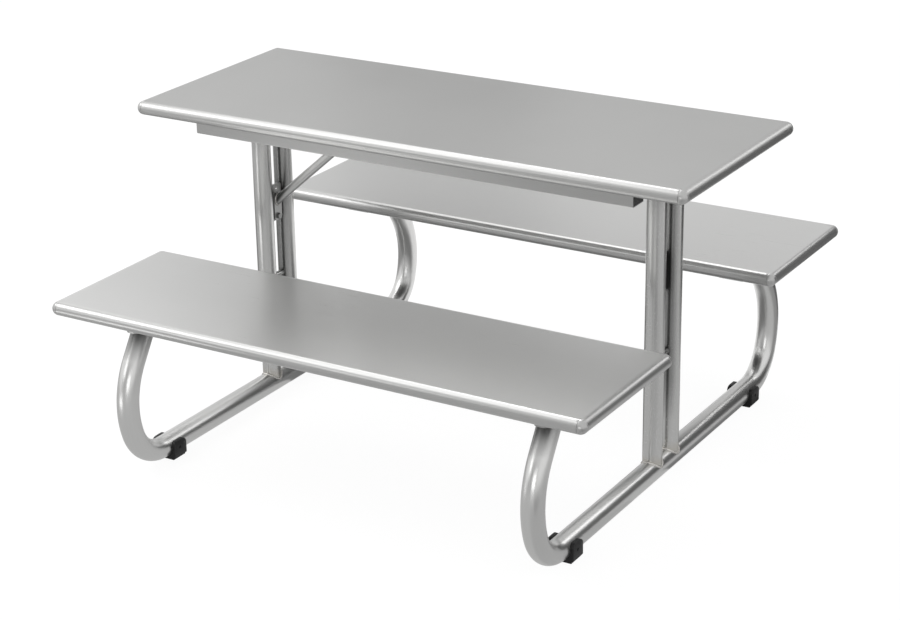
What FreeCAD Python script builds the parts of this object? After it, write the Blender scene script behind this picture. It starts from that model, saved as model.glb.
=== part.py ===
"""Cafeteria table with two benches carried on two bent tube frames, in millimetres.

The origin is on the floor under the middle of the table. X runs along the table, Y from the front
bench to the rear bench, and Z is up. Each sub-part is written to parts/NAME.step.
"""
import FreeCAD
import Part
import math
import os

# Table top and bench seats: sheet trays with a rolled edge round a core board.
TABLE_LENGTH = 1320.0
TABLE_WIDTH = 534.0
TABLE_HEIGHT = 740.0
BENCH_INSET = 26.0          # end of the table top to the end of a seat, along X
BENCH_WIDTH = 380.0
SEAT_HEIGHT = 398.0
BENCH_OFFSET = 433.0        # middle of the table to the middle of a bench, along Y
SLAB_THICKNESS = 30.0
SLAB_CORNER_RADIUS = 16.0
EDGE_LAND = 0.3             # flat strip left between the two halves of the rolled edge
SHEET = 1.2
RETURN_LIP = 20.0           # how far the rolled edge comes back in under the slab
LINER_GAP = 0.5             # between the return lip and the lining sheet

# The two frames: a base tube bent up at both ends, with a pair of posts.
FRAME_INSET = 168.0         # end of the table top to the middle of a frame, along X
BASE_TUBE_OD = 48.3
BASE_TUBE_WALL = 2.0
POST_OD = 42.4
POST_WALL = 2.0
POST_SPACING = 80.0
BEND_START = 457.0          # middle of the base tube to its first bend
LOWER_BEND_RADIUS = 99.0
LOWER_BEND_ANGLE = 70.0     # degrees turned up from the floor
UPPER_BEND_RADIUS = 186.0
UPPER_BEND_ANGLE = 123.0    # degrees turned in all, so the end leans back over the floor tube
WELD = 3.5                  # leg of a fillet weld

# Glides: plastic saddles under the base tube, just before its first bend.
GLIDE_SOLE = 5.0
GLIDE_LENGTH = 42.0
GLIDE_SETBACK = 25.0        # first bend's start back to the middle of a glide
GLIDE_WALL = 7.0
GLIDE_WING_RISE = 14.0      # wing top above the middle of the base tube
GLIDE_SOLE_INSET = 5.0
GLIDE_CORNER = 12.0
GLIDE_SCREW_D = 4.0
GLIDE_SCREW_DROP = 4.0      # middle of the base tube down to a screw
GLIDE_SCREW_PROUD = 2.0     # screw showing inside the tube's wall
GLIDE_SCREW_HEAD_D = 7.0
GLIDE_SCREW_HEAD_H = 1.2

# Under the table: two channel rails, and a box crossbar over each frame.
RAIL_INSET = 132.0          # end of the table top to the end of a rail, along X
RAIL_SETBACK = 45.0         # edge of the table top to a rail's outer face, along Y
RAIL_DEPTH = 35.0
RAIL_FLANGE = 45.0
RAIL_WALL = 2.0
RAIL_BEND = 2.5
CROSSBAR_WIDTH = 60.0
CROSSBAR_WALL = 2.0
CROSSBAR_CORNER = 4.0
POST_PLATE_LENGTH = 170.0
POST_PLATE_THICKNESS = 6.0
POST_PLATE_CORNER = 8.0
POST_PLATE_BOLT_INSET = 14.0
CROSSBAR_BOLT_HALF_PITCH = 16.0
RAIL_BOLT_INSET = 32.0      # rail's outer face to its bolts, along Y

# Between each pair of posts: a drilled tie plate and a round spacer.
TIE_PLATE_HEIGHT = 86.0
TIE_PLATE_MIDDLE = 459.0
TIE_PLATE_THICKNESS = 4.0
TIE_PLATE_SETBACK = 3.0     # post centres to the near face of the plate, towards the table's middle
TIE_PLATE_CORNER = 8.0
TIE_HOLE_D = 9.0
TIE_HOLE_SPACING = 66.0
SPACER_D = 14.0
SPACER_Z = 281.0

# The single diagonal brace, from the left tie plate up to the table.
BRACE_OD = 20.0
BRACE_WALL = 2.0
BRACE_ANGLE = 41.0          # degrees above level
BRACE_START_Z = 465.0
BRACE_TAB_THICKNESS = 4.0
BRACE_TAB_WIDTH = 28.0
BRACE_TAB_LOW = 417.0
BRACE_TAB_HIGH = 483.0
BRACE_TAB_CORNER = 9.0
BRACE_FOOT_LENGTH = 76.0
BRACE_FOOT_WIDTH = 40.0
BRACE_FOOT_THICKNESS = 4.0
BRACE_FOOT_CORNER = 8.0
BRACE_SCREW_HALF_PITCH = 27.0

# Under each seat, over each frame: a hat channel and the plate on the end of the base tube.
BEARER_SETBACK = 45.0       # edge of a seat to the end of a bearer, along Y
BEARER_END_TAPER = 57.0     # how much shorter the web is than the flanges, at each end
BEARER_DEPTH = 38.0
BEARER_WEB = 60.0
BEARER_FLANGE = 28.0
BEARER_WALL = 3.0
BEARER_BEND = 5.0
SEAT_PLATE_LENGTH = 164.0
SEAT_PLATE_WIDTH = 60.0
SEAT_PLATE_TIP = 26.0       # width that the plate narrows to at its outer end
SEAT_PLATE_CORNER = 12.0
SEAT_PLATE_THICKNESS = 6.0
SEAT_PLATE_LIP = 16.0       # how far the plate shows past the tube end
SEAT_BOLT_INSET = 20.0
SEAT_BOLT_SPACING = 54.0

# Fasteners.
BOLT_D = 8.0
BOLT_HOLE_D = 9.0
BOLT_HEAD_AF = 13.0
BOLT_HEAD_H = 5.3
NUT_H = 6.5
WASHER_OD = 16.0
WASHER_H = 1.6
THREAD_PROUD = 2.0          # thread showing past a nut
SCREW_D = 5.0
SCREW_HEAD_D = 10.0
SCREW_HEAD_H = 3.0
SCREW_BITE = 16.0           # screw length inside the core board
SCREW_ACCESS_D = 14.0
TABLE_SCREWS_PER_RAIL = 5
TABLE_SCREW_END = 88.0      # end of a rail to its first screw, along X
TABLE_SCREW_INSET = 30.0    # rail's outer face to its screws, along Y
BENCH_SCREWS_PER_FLANGE = 3
BENCH_SCREW_PITCH = 110.0

# Sizes and places that follow from the ones above.
BENCH_LENGTH = TABLE_LENGTH - 2 * BENCH_INSET
FRAME_OFFSET = TABLE_LENGTH / 2 - FRAME_INSET
RAIL_LENGTH = TABLE_LENGTH - 2 * RAIL_INSET
RAIL_FACE_OFFSET = TABLE_WIDTH / 2 - RAIL_SETBACK
BEARER_LENGTH = BENCH_WIDTH - 2 * BEARER_SETBACK
TABLE_SCREW_PITCH = (RAIL_LENGTH - 2 * TABLE_SCREW_END) / (TABLE_SCREWS_PER_RAIL - 1)
TABLE_UNDERSIDE = TABLE_HEIGHT - SLAB_THICKNESS
SEAT_UNDERSIDE = SEAT_HEIGHT - SLAB_THICKNESS
BASE_R = BASE_TUBE_OD / 2
BASE_Z = GLIDE_SOLE + BASE_R
GLIDE_MIDDLE = BEND_START - GLIDE_SETBACK
POST_R = POST_OD / 2
RAIL_BOTTOM = TABLE_UNDERSIDE - RAIL_DEPTH
CROSSBAR_BOTTOM = RAIL_BOTTOM + RAIL_WALL
CROSSBAR_HEIGHT = RAIL_DEPTH - 2 * RAIL_WALL
CROSSBAR_LENGTH = 2 * (RAIL_FACE_OFFSET - RAIL_WALL)
POST_TOP = CROSSBAR_BOTTOM - POST_PLATE_THICKNESS
SEAT_PLATE_TOP = SEAT_UNDERSIDE - BEARER_DEPTH
TUBE_TOP = SEAT_PLATE_TOP - SEAT_PLATE_THICKNESS
TIE_PLATE_NEAR = FRAME_OFFSET - TIE_PLATE_SETBACK
TIE_PLATE_FAR = TIE_PLATE_NEAR - TIE_PLATE_THICKNESS
BRACE_START_X = -TIE_PLATE_FAR + BRACE_TAB_THICKNESS
BRACE_END_Z = TABLE_UNDERSIDE - BRACE_FOOT_THICKNESS
BRACE_END_X = BRACE_START_X + (BRACE_END_Z - BRACE_START_Z) / math.tan(math.radians(BRACE_ANGLE))

LOWER_TURN = math.radians(LOWER_BEND_ANGLE)
UPPER_TURN = math.radians(UPPER_BEND_ANGLE)
LOWER_CENTRE = (BEND_START, BASE_Z + LOWER_BEND_RADIUS)
JOIN = (LOWER_CENTRE[0] + LOWER_BEND_RADIUS * math.sin(LOWER_TURN),
        LOWER_CENTRE[1] - LOWER_BEND_RADIUS * math.cos(LOWER_TURN))
UPPER_CENTRE = (JOIN[0] - UPPER_BEND_RADIUS * math.sin(LOWER_TURN),
                JOIN[1] + UPPER_BEND_RADIUS * math.cos(LOWER_TURN))
BEND_END = (UPPER_CENTRE[0] + UPPER_BEND_RADIUS * math.sin(UPPER_TURN),
            UPPER_CENTRE[1] - UPPER_BEND_RADIUS * math.cos(UPPER_TURN))
TUBE_TOP_Y = BEND_END[0] + (TUBE_TOP - BEND_END[1]) / math.tan(UPPER_TURN)
TUBE_TOP_HALF = BASE_R / math.sin(UPPER_TURN)
SEAT_PLATE_OUTER = TUBE_TOP_Y + TUBE_TOP_HALF + SEAT_PLATE_LIP
SEAT_PLATE_INNER = SEAT_PLATE_OUTER - SEAT_PLATE_LENGTH
SEAT_BOLT_YS = [SEAT_PLATE_INNER + SEAT_BOLT_INSET + step * SEAT_BOLT_SPACING for step in range(2)]
TIE_HOLE_ZS = [TIE_PLATE_MIDDLE + side * TIE_HOLE_SPACING / 2 for side in (-1, 1)]
BRACE_BOLT_Z = TIE_HOLE_ZS[0]

X_AXIS = FreeCAD.Vector(1, 0, 0)
Y_AXIS = FreeCAD.Vector(0, 1, 0)
Z_AXIS = FreeCAD.Vector(0, 0, 1)
ENDS = {"left": -1, "right": 1}
SIDES = {"front": -1, "rear": 1}
OVERCUT = 1.0               # how far a cutting tool runs past the face it opens


def block(x, y, z, low_z, middle_x=0.0, middle_y=0.0):
    """A box of size x, y, z, centred in plan, with its underside at low_z."""
    return Part.makeBox(x, y, z, FreeCAD.Vector(middle_x - x / 2, middle_y - y / 2, low_z))


def rod(radius, length, start, axis):
    """A cylinder from a start point along an axis."""
    return Part.makeCylinder(radius, length, FreeCAD.Vector(*start), axis)


def pipe(radius, wall, length, start, axis):
    """A straight tube from a start point along an axis."""
    return rod(radius, length, start, axis).cut(rod(radius - wall, length, start, axis))


def round_edges(shape, radius, axis):
    """The shape with its straight edges along an axis rounded."""
    straight = [edge for edge in shape.Edges if isinstance(edge.Curve, Part.Line)]
    picked = [edge for edge in straight if edge.tangentAt(edge.FirstParameter).cross(axis).Length < 1e-6]
    return shape.makeFillet(radius, picked)


def hexagon(across_flats, height, start, axis):
    """A hexagonal prism from a start point along an axis."""
    radius = across_flats / math.sqrt(3)
    place = FreeCAD.Placement(FreeCAD.Vector(*start), FreeCAD.Rotation(Z_AXIS, axis))
    turns = [math.radians(60 * i) for i in range(7)]
    corners = [FreeCAD.Vector(radius * math.cos(turn), radius * math.sin(turn), 0) for turn in turns]
    prism = Part.Face(Part.makePolygon(corners)).extrude(FreeCAD.Vector(0, 0, height))
    prism.Placement = place
    return prism


def offset(start, axis, distance):
    """The point at a distance from start along an axis."""
    return tuple(FreeCAD.Vector(*start) + axis * distance)


def hex_bolt(face, axis, grip, proud):
    """A bolt whose head sits on a face point, with its shank along the axis."""
    head = hexagon(BOLT_HEAD_AF, BOLT_HEAD_H, offset(face, axis, -BOLT_HEAD_H), axis)
    return head.fuse(rod(BOLT_D / 2, grip + proud, face, axis))


def hex_nut(face, axis):
    """A nut that sits on a face point and grows along the axis."""
    return hexagon(BOLT_HEAD_AF, NUT_H, face, axis).cut(rod(BOLT_D / 2, NUT_H, face, axis))


def washer(face, axis):
    """A washer that sits on a face point and grows along the axis."""
    return pipe(WASHER_OD / 2, (WASHER_OD - BOLT_HOLE_D) / 2, WASHER_H, face, axis)


def wood_screw(face, grip):
    """A domed screw driven up through a sheet of the given grip into the core board."""
    head = rod(SCREW_HEAD_D / 2, SCREW_HEAD_H, offset(face, Z_AXIS, -SCREW_HEAD_H), Z_AXIS)
    low_z = face[2] - SCREW_HEAD_H
    rim = [edge for edge in head.Edges
           if isinstance(edge.Curve, Part.Circle) and abs(edge.CenterOfMass.z - low_z) < 1e-6]
    return head.makeFillet(SCREW_HEAD_H * 0.6, rim).fuse(rod(SCREW_D / 2, grip + SCREW_BITE, face, Z_AXIS))


def drill(shape, points, diameter, depth, axis):
    """The shape with round holes of one diameter, each starting at a point."""
    for point in points:
        shape = shape.cut(rod(diameter / 2, depth, point, axis))
    return shape


def table_screw_points():
    """Where the rails' screws go, at the slab's underside."""
    first = -(TABLE_SCREWS_PER_RAIL - 1) / 2
    return [((first + i) * TABLE_SCREW_PITCH, side * (RAIL_FACE_OFFSET - TABLE_SCREW_INSET), TABLE_UNDERSIDE)
            for side in SIDES.values() for i in range(TABLE_SCREWS_PER_RAIL)]


def brace_screw_points():
    """Where the brace foot's screws go, at the table's underside."""
    return [(BRACE_END_X + side * BRACE_SCREW_HALF_PITCH, 0, TABLE_UNDERSIDE) for side in (-1, 1)]


def bearer_screw_points(end, side):
    """Where one bearer's screws go, at the seat's underside."""
    reach = (BEARER_WEB + BEARER_FLANGE) / 2
    first = -(BENCH_SCREWS_PER_FLANGE - 1) / 2
    return [(end * FRAME_OFFSET + edge * reach, side * BENCH_OFFSET + (first + i) * BENCH_SCREW_PITCH,
             SEAT_UNDERSIDE)
            for edge in (-1, 1) for i in range(BENCH_SCREWS_PER_FLANGE)]


def rolled_slab(length, width, thickness, corner, low_z, middle_y):
    """A solid slab with rounded plan corners and a half-round edge."""
    slab = round_edges(block(length, width, thickness, low_z, 0, middle_y), corner, Z_AXIS)
    flat = [edge for edge in slab.Edges
            if abs(edge.BoundBox.ZMax - edge.BoundBox.ZMin) < 1e-6]
    return slab.makeFillet((thickness - EDGE_LAND) / 2, flat)


def slab_skin(length, width, top_z, middle_y):
    """The rolled-edge sheet tray, open below inside its return lip."""
    low_z = top_z - SLAB_THICKNESS
    outer = rolled_slab(length, width, SLAB_THICKNESS, SLAB_CORNER_RADIUS, low_z, middle_y)
    inner = rolled_slab(length - 2 * SHEET, width - 2 * SHEET, SLAB_THICKNESS - 2 * SHEET,
                        SLAB_CORNER_RADIUS - SHEET, low_z + SHEET, middle_y)
    rim = SLAB_THICKNESS / 2 + RETURN_LIP
    window = block(length - 2 * rim, width - 2 * rim, SHEET + OVERCUT, low_z - OVERCUT, 0, middle_y)
    return outer.cut(inner).cut(window)


def slab_core(length, width, top_z, middle_y, screws):
    """The core board that fills the tray, with its pilot holes."""
    board = block(length - SLAB_THICKNESS, width - SLAB_THICKNESS, SLAB_THICKNESS - 2 * SHEET,
                  top_z - SLAB_THICKNESS + SHEET, 0, middle_y)
    return drill(board, screws, SCREW_D, SHEET + SCREW_BITE, Z_AXIS)


def slab_liner(length, width, top_z, middle_y, screws):
    """The lining sheet under the core board, inside the return lip."""
    rim = SLAB_THICKNESS / 2 + RETURN_LIP + LINER_GAP
    sheet = block(length - 2 * rim, width - 2 * rim, SHEET, top_z - SLAB_THICKNESS, 0, middle_y)
    return drill(sheet, screws, SCREW_D, SHEET, Z_AXIS)


def rail_bolt_points():
    """Where the rails are bolted up to the crossbars, at the rail's underside."""
    reach = RAIL_FACE_OFFSET - RAIL_BOLT_INSET
    return [(end * FRAME_OFFSET + step * CROSSBAR_BOLT_HALF_PITCH, side * reach, RAIL_BOTTOM)
            for end in ENDS.values() for side in SIDES.values() for step in (-1, 1)]


def post_plate_bolt_points():
    """Where the post plates are bolted up to the crossbars, at the plate's underside."""
    reach = POST_PLATE_LENGTH / 2 - POST_PLATE_BOLT_INSET
    return [(end * FRAME_OFFSET + step * CROSSBAR_BOLT_HALF_PITCH, side * reach, POST_TOP)
            for end in ENDS.values() for side in SIDES.values() for step in (-1, 1)]


def edges_along_x(shape, y):
    """A box's two edges that run along X at one place across the table."""
    return [edge for edge in shape.Edges
            if abs(edge.CenterOfMass.y - y) < 1e-6
            and edge.tangentAt(edge.FirstParameter).cross(X_AXIS).Length < 1e-6]


def rail_end_cap(end, side):
    """The small plate that closes one end of a rail, inside its web and flanges."""
    width = RAIL_FLANGE - RAIL_WALL
    web_y = side * (RAIL_FACE_OFFSET - RAIL_WALL)
    cap = block(RAIL_WALL, width, CROSSBAR_HEIGHT, RAIL_BOTTOM + RAIL_WALL,
                end * (RAIL_LENGTH - RAIL_WALL) / 2, web_y - side * width / 2)
    return cap.makeFillet(RAIL_BEND - RAIL_WALL, edges_along_x(cap, web_y))


def table_rail(side):
    """A channel rail whose web faces outward and whose flanges point to the table's middle."""
    middle = side * (RAIL_FACE_OFFSET - RAIL_FLANGE / 2)
    inner_middle = side * (RAIL_FACE_OFFSET - RAIL_WALL - RAIL_FLANGE / 2)
    outer = block(RAIL_LENGTH, RAIL_FLANGE, RAIL_DEPTH, RAIL_BOTTOM, 0, middle)
    inner = block(RAIL_LENGTH, RAIL_FLANGE, CROSSBAR_HEIGHT, RAIL_BOTTOM + RAIL_WALL, 0, inner_middle)
    outer_bends = edges_along_x(outer, side * RAIL_FACE_OFFSET)
    inner_bends = edges_along_x(inner, side * (RAIL_FACE_OFFSET - RAIL_WALL))
    rail = outer.makeFillet(RAIL_BEND, outer_bends).cut(inner.makeFillet(RAIL_BEND - RAIL_WALL, inner_bends))
    own_screws = [point for point in table_screw_points() if point[1] * side > 0]
    own_bolts = [point for point in rail_bolt_points() if point[1] * side > 0]
    top_holes = [offset(point, Z_AXIS, -RAIL_WALL) for point in own_screws]
    low_holes = [offset(point, Z_AXIS, -RAIL_DEPTH) for point in own_screws]
    rail = drill(rail, top_holes, SCREW_D, RAIL_WALL, Z_AXIS)
    rail = drill(rail, low_holes, SCREW_ACCESS_D, RAIL_WALL, Z_AXIS)
    return drill(rail, own_bolts, BOLT_HOLE_D, RAIL_WALL, Z_AXIS)


def crossbar(end):
    """A box crossbar that lies inside both rails and carries the posts."""
    middle = end * FRAME_OFFSET
    outer = round_edges(block(CROSSBAR_WIDTH, CROSSBAR_LENGTH, CROSSBAR_HEIGHT, CROSSBAR_BOTTOM,
                              middle), CROSSBAR_CORNER, Y_AXIS)
    inner = round_edges(block(CROSSBAR_WIDTH - 2 * CROSSBAR_WALL, CROSSBAR_LENGTH,
                              CROSSBAR_HEIGHT - 2 * CROSSBAR_WALL, CROSSBAR_BOTTOM + CROSSBAR_WALL, middle),
                        CROSSBAR_CORNER - CROSSBAR_WALL, Y_AXIS)
    holes = [(x, y, CROSSBAR_BOTTOM) for x, y, z in rail_bolt_points() + post_plate_bolt_points()
             if x * end > 0]
    return drill(outer.cut(inner), holes, BOLT_HOLE_D, CROSSBAR_WALL, Z_AXIS)


def post_plate(end):
    """The plate on top of a pair of posts."""
    plate = round_edges(block(CROSSBAR_WIDTH, POST_PLATE_LENGTH, POST_PLATE_THICKNESS, POST_TOP,
                              end * FRAME_OFFSET), POST_PLATE_CORNER, Z_AXIS)
    holes = [point for point in post_plate_bolt_points() if point[0] * end > 0]
    return drill(plate, holes, BOLT_HOLE_D, POST_PLATE_THICKNESS, Z_AXIS)


def tube_path(end):
    """The base tube's centre line, from over one seat plate to over the other."""
    x = end * FRAME_OFFSET

    def at(y, z):
        return FreeCAD.Vector(x, y, z)

    def on_bend(side, centre, radius, turn):
        return at(side * (centre[0] + radius * math.sin(turn)), centre[1] - radius * math.cos(turn))

    lean = 2 * BASE_TUBE_OD
    over = (TUBE_TOP_Y + lean * math.cos(UPPER_TURN), TUBE_TOP + lean * math.sin(UPPER_TURN))
    half = (LOWER_TURN + UPPER_TURN) / 2
    runs = []
    for side in (1, -1):
        start = at(side * BEND_START, BASE_Z)
        join = at(side * JOIN[0], JOIN[1])
        bend_end = at(side * BEND_END[0], BEND_END[1])
        top = at(side * over[0], over[1])
        lower = Part.Arc(start, on_bend(side, LOWER_CENTRE, LOWER_BEND_RADIUS, LOWER_TURN / 2), join)
        upper = Part.Arc(join, on_bend(side, UPPER_CENTRE, UPPER_BEND_RADIUS, half), bend_end)
        runs += [lower.toShape(), upper.toShape(), Part.LineSegment(bend_end, top).toShape()]
    floor = Part.LineSegment(at(-BEND_START, BASE_Z), at(BEND_START, BASE_Z)).toShape()
    return Part.Wire(Part.__sortEdges__(runs + [floor]))


def swept(path, radius):
    """A solid rod of one radius along a path."""
    start = path.OrderedVertexes[0].Point
    first = path.OrderedEdges[0]
    axis = (first.Vertexes[1].Point - first.Vertexes[0].Point).normalize()
    ring = Part.Wire(Part.makeCircle(radius, start, axis))
    return path.makePipeShell([ring], True, False)


def base_rod(end, radius):
    """The base tube's path filled to a radius and cut level under the seat plates."""
    above = block(4 * BASE_TUBE_OD, 4 * BENCH_OFFSET, SEAT_HEIGHT, TUBE_TOP, end * FRAME_OFFSET)
    return swept(tube_path(end), radius).cut(above)


def base_tube(end):
    """The base tube: along the floor, and bent up and back at both ends."""
    tube = base_rod(end, BASE_R).cut(base_rod(end, BASE_R - BASE_TUBE_WALL))
    starts = [glide_screw_start(end, side) for side in SIDES.values()]
    return drill(tube, starts, GLIDE_SCREW_D, BASE_TUBE_OD + 2 * GLIDE_WALL, X_AXIS)


def post(end, side):
    """A post, coped at its foot over the base tube."""
    start = (end * FRAME_OFFSET, side * POST_SPACING / 2, BASE_Z)
    saddle = rod(BASE_R, 4 * POST_SPACING, (end * FRAME_OFFSET, -2 * POST_SPACING, BASE_Z), Y_AXIS)
    return pipe(POST_R, POST_WALL, POST_TOP - BASE_Z, start, Z_AXIS).cut(saddle)


def post_foot_weld(end, side):
    """The bead round a post's foot, on the base tube."""
    start = (end * FRAME_OFFSET, side * POST_SPACING / 2, BASE_Z)
    round_post = pipe(POST_R + WELD, WELD, BASE_R + 2 * WELD, start, Z_AXIS)
    base_start = (end * FRAME_OFFSET, -POST_SPACING, BASE_Z)
    round_base = pipe(BASE_R + WELD, WELD, 2 * POST_SPACING, base_start, Y_AXIS)
    return round_post.common(round_base)


def post_top_weld(end, side):
    """The bead round a post's top, under its plate."""
    low = FreeCAD.Vector(end * FRAME_OFFSET, side * POST_SPACING / 2, POST_TOP - WELD)
    cone = Part.makeCone(POST_R + WELD * 0.1, POST_R + WELD, WELD, low, Z_AXIS)
    return cone.cut(rod(POST_R, WELD, tuple(low), Z_AXIS))


def tie_plate(end):
    """The drilled plate between two posts, coped to their walls."""
    middle_x = end * (TIE_PLATE_NEAR + TIE_PLATE_FAR) / 2
    plate = round_edges(block(TIE_PLATE_THICKNESS, tie_plate_width(), TIE_PLATE_HEIGHT,
                              TIE_PLATE_MIDDLE - TIE_PLATE_HEIGHT / 2, middle_x), TIE_PLATE_CORNER, X_AXIS)
    for side in SIDES.values():
        plate = plate.cut(rod(POST_R, TABLE_HEIGHT, (end * FRAME_OFFSET, side * POST_SPACING / 2, 0), Z_AXIS))
    low_x = min(end * TIE_PLATE_NEAR, end * TIE_PLATE_FAR)
    return drill(plate, [(low_x, 0, z) for z in TIE_HOLE_ZS], TIE_HOLE_D, TIE_PLATE_THICKNESS, X_AXIS)


def tie_plate_width():
    """How wide a tie plate is where it meets the posts furthest from their middles."""
    return POST_SPACING - 2 * math.sqrt(POST_R ** 2 - (TIE_PLATE_SETBACK + TIE_PLATE_THICKNESS) ** 2)


def post_spacer(end):
    """A round bar between two posts, coped to their walls."""
    bar = rod(SPACER_D / 2, POST_SPACING, (end * FRAME_OFFSET, -POST_SPACING / 2, SPACER_Z), Y_AXIS)
    for side in SIDES.values():
        bar = bar.cut(rod(POST_R, TABLE_HEIGHT, (end * FRAME_OFFSET, side * POST_SPACING / 2, 0), Z_AXIS))
    return bar


def brace_axis():
    """The direction of the brace, from the tie plate up to the table."""
    angle = math.radians(BRACE_ANGLE)
    return FreeCAD.Vector(math.cos(angle), 0, math.sin(angle))


def brace_rod(radius):
    """The brace's centre line filled to a radius and cut flush with its tab and its foot."""
    reach = BRACE_END_Z - BRACE_START_Z + BRACE_OD
    axis = brace_axis()
    start = offset((BRACE_START_X, 0, BRACE_START_Z), axis, -2 * BRACE_OD)
    body = rod(radius, 4 * BRACE_OD + reach / axis.z, start, axis)
    span = BRACE_END_X - BRACE_START_X + 2 * BRACE_OD
    room = Part.makeBox(span, 4 * BRACE_OD, reach + BRACE_OD,
                        FreeCAD.Vector(BRACE_START_X, -2 * BRACE_OD, BRACE_END_Z - reach - BRACE_OD))
    return body.common(room)


def brace_tube():
    """The diagonal brace."""
    return brace_rod(BRACE_OD / 2).cut(brace_rod(BRACE_OD / 2 - BRACE_WALL))


def brace_tab():
    """The flat tab on the brace's lower end, bolted to the left tie plate."""
    middle_x = BRACE_START_X - BRACE_TAB_THICKNESS / 2
    tab = block(BRACE_TAB_THICKNESS, BRACE_TAB_WIDTH, BRACE_TAB_HIGH - BRACE_TAB_LOW, BRACE_TAB_LOW, middle_x)
    hole = (BRACE_START_X - BRACE_TAB_THICKNESS, 0, BRACE_BOLT_Z)
    return drill(round_edges(tab, BRACE_TAB_CORNER, X_AXIS), [hole], BOLT_HOLE_D, BRACE_TAB_THICKNESS, X_AXIS)


def brace_foot():
    """The flat foot on the brace's upper end, screwed to the table."""
    foot = round_edges(block(BRACE_FOOT_LENGTH, BRACE_FOOT_WIDTH, BRACE_FOOT_THICKNESS, BRACE_END_Z,
                             BRACE_END_X), BRACE_FOOT_CORNER, Z_AXIS)
    holes = [(x, y, BRACE_END_Z) for x, y, z in brace_screw_points()]
    return drill(foot, holes, SCREW_D, BRACE_FOOT_THICKNESS, Z_AXIS)


def brace_welds():
    """The beads round the brace's two ends."""
    bead = brace_rod(BRACE_OD / 2 + WELD).cut(brace_rod(BRACE_OD / 2))
    low = Part.makeBox(WELD, 4 * BRACE_OD, 4 * BRACE_OD,
                       FreeCAD.Vector(BRACE_START_X, -2 * BRACE_OD, BRACE_START_Z - 2 * BRACE_OD))
    high = block(4 * BRACE_OD, 4 * BRACE_OD, WELD, BRACE_END_Z - WELD, BRACE_END_X)
    return [bead.common(low), bead.common(high)]


def tapered_room(x, y):
    """The space a bearer may fill, with both ends sloped in towards its web."""
    half = BEARER_LENGTH / 2
    low_x = x - BEARER_WEB / 2 - BEARER_FLANGE
    profile = [(half, SEAT_UNDERSIDE), (half, SEAT_UNDERSIDE - BEARER_WALL),
               (half - BEARER_END_TAPER, SEAT_PLATE_TOP)]
    corners = profile + [(-step, z) for step, z in reversed(profile)]
    points = [FreeCAD.Vector(low_x, y + step, z) for step, z in corners + corners[:1]]
    return Part.Face(Part.makePolygon(points)).extrude(X_AXIS * (BEARER_WEB + 2 * BEARER_FLANGE))


def edges_along_y(shape, height):
    """A box's two edges that run along Y at a height."""
    return [edge for edge in shape.Edges
            if abs(edge.CenterOfMass.z - height) < 1e-6
            and edge.tangentAt(edge.FirstParameter).cross(Y_AXIS).Length < 1e-6]


def seat_bearer(end, side):
    """A hat channel across a seat, over a frame."""
    middle = (end * FRAME_OFFSET, side * BENCH_OFFSET)
    trough = block(BEARER_WEB, BEARER_LENGTH, BEARER_DEPTH, SEAT_PLATE_TOP, *middle)
    low_bends = edges_along_y(trough, SEAT_PLATE_TOP)
    inner_z = SEAT_PLATE_TOP + BEARER_WALL
    hollow = block(BEARER_WEB - 2 * BEARER_WALL, BEARER_LENGTH, BEARER_DEPTH, inner_z, *middle)
    inner_bends = edges_along_y(hollow, inner_z)
    flanges = block(BEARER_WEB + 2 * BEARER_FLANGE, BEARER_LENGTH, BEARER_WALL,
                    SEAT_UNDERSIDE - BEARER_WALL, *middle)
    hat = trough.makeFillet(BEARER_BEND, low_bends).fuse(flanges)
    hat = hat.cut(hollow.makeFillet(BEARER_BEND - BEARER_WALL, inner_bends)).removeSplitter()
    hat = hat.common(tapered_room(*middle))
    holes = [offset(point, Z_AXIS, -BEARER_WALL) for point in bearer_screw_points(end, side)]
    hat = drill(hat, holes, SCREW_D, BEARER_WALL, Z_AXIS)
    bolts = [(middle[0], side * y, SEAT_PLATE_TOP) for y in SEAT_BOLT_YS]
    return drill(hat, bolts, BOLT_HOLE_D, BEARER_WALL, Z_AXIS)


def seat_plate(end, side):
    """The plate on the base tube's end, bolted under a bearer and narrowed to a round tip."""
    middle = end * FRAME_OFFSET
    half = SEAT_PLATE_WIDTH / 2
    profile = [(half, SEAT_PLATE_INNER), (half, TUBE_TOP_Y), (SEAT_PLATE_TIP / 2, SEAT_PLATE_OUTER)]
    corners = profile + [(-x, y) for x, y in reversed(profile)]
    points = [FreeCAD.Vector(middle + x, side * y, TUBE_TOP) for x, y in corners + corners[:1]]
    plate = Part.Face(Part.makePolygon(points)).extrude(Z_AXIS * SEAT_PLATE_THICKNESS)
    bolts = [(middle, side * y, TUBE_TOP) for y in SEAT_BOLT_YS]
    plate = round_edges(plate, SEAT_PLATE_CORNER, Z_AXIS)
    return drill(plate, bolts, BOLT_HOLE_D, SEAT_PLATE_THICKNESS, Z_AXIS)


def seat_plate_weld(end, side):
    """The bead round the base tube's end, under its seat plate."""
    axis = FreeCAD.Vector(0, side * math.cos(UPPER_TURN), math.sin(UPPER_TURN))
    start = offset((end * FRAME_OFFSET, side * TUBE_TOP_Y, TUBE_TOP), axis, -BASE_TUBE_OD)
    bead = pipe(BASE_R + WELD, WELD, 2 * BASE_TUBE_OD, start, axis)
    slice_room = block(4 * BASE_R, 6 * BASE_R, WELD, TUBE_TOP - WELD, end * FRAME_OFFSET, side * TUBE_TOP_Y)
    return bead.common(slice_room)


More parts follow.
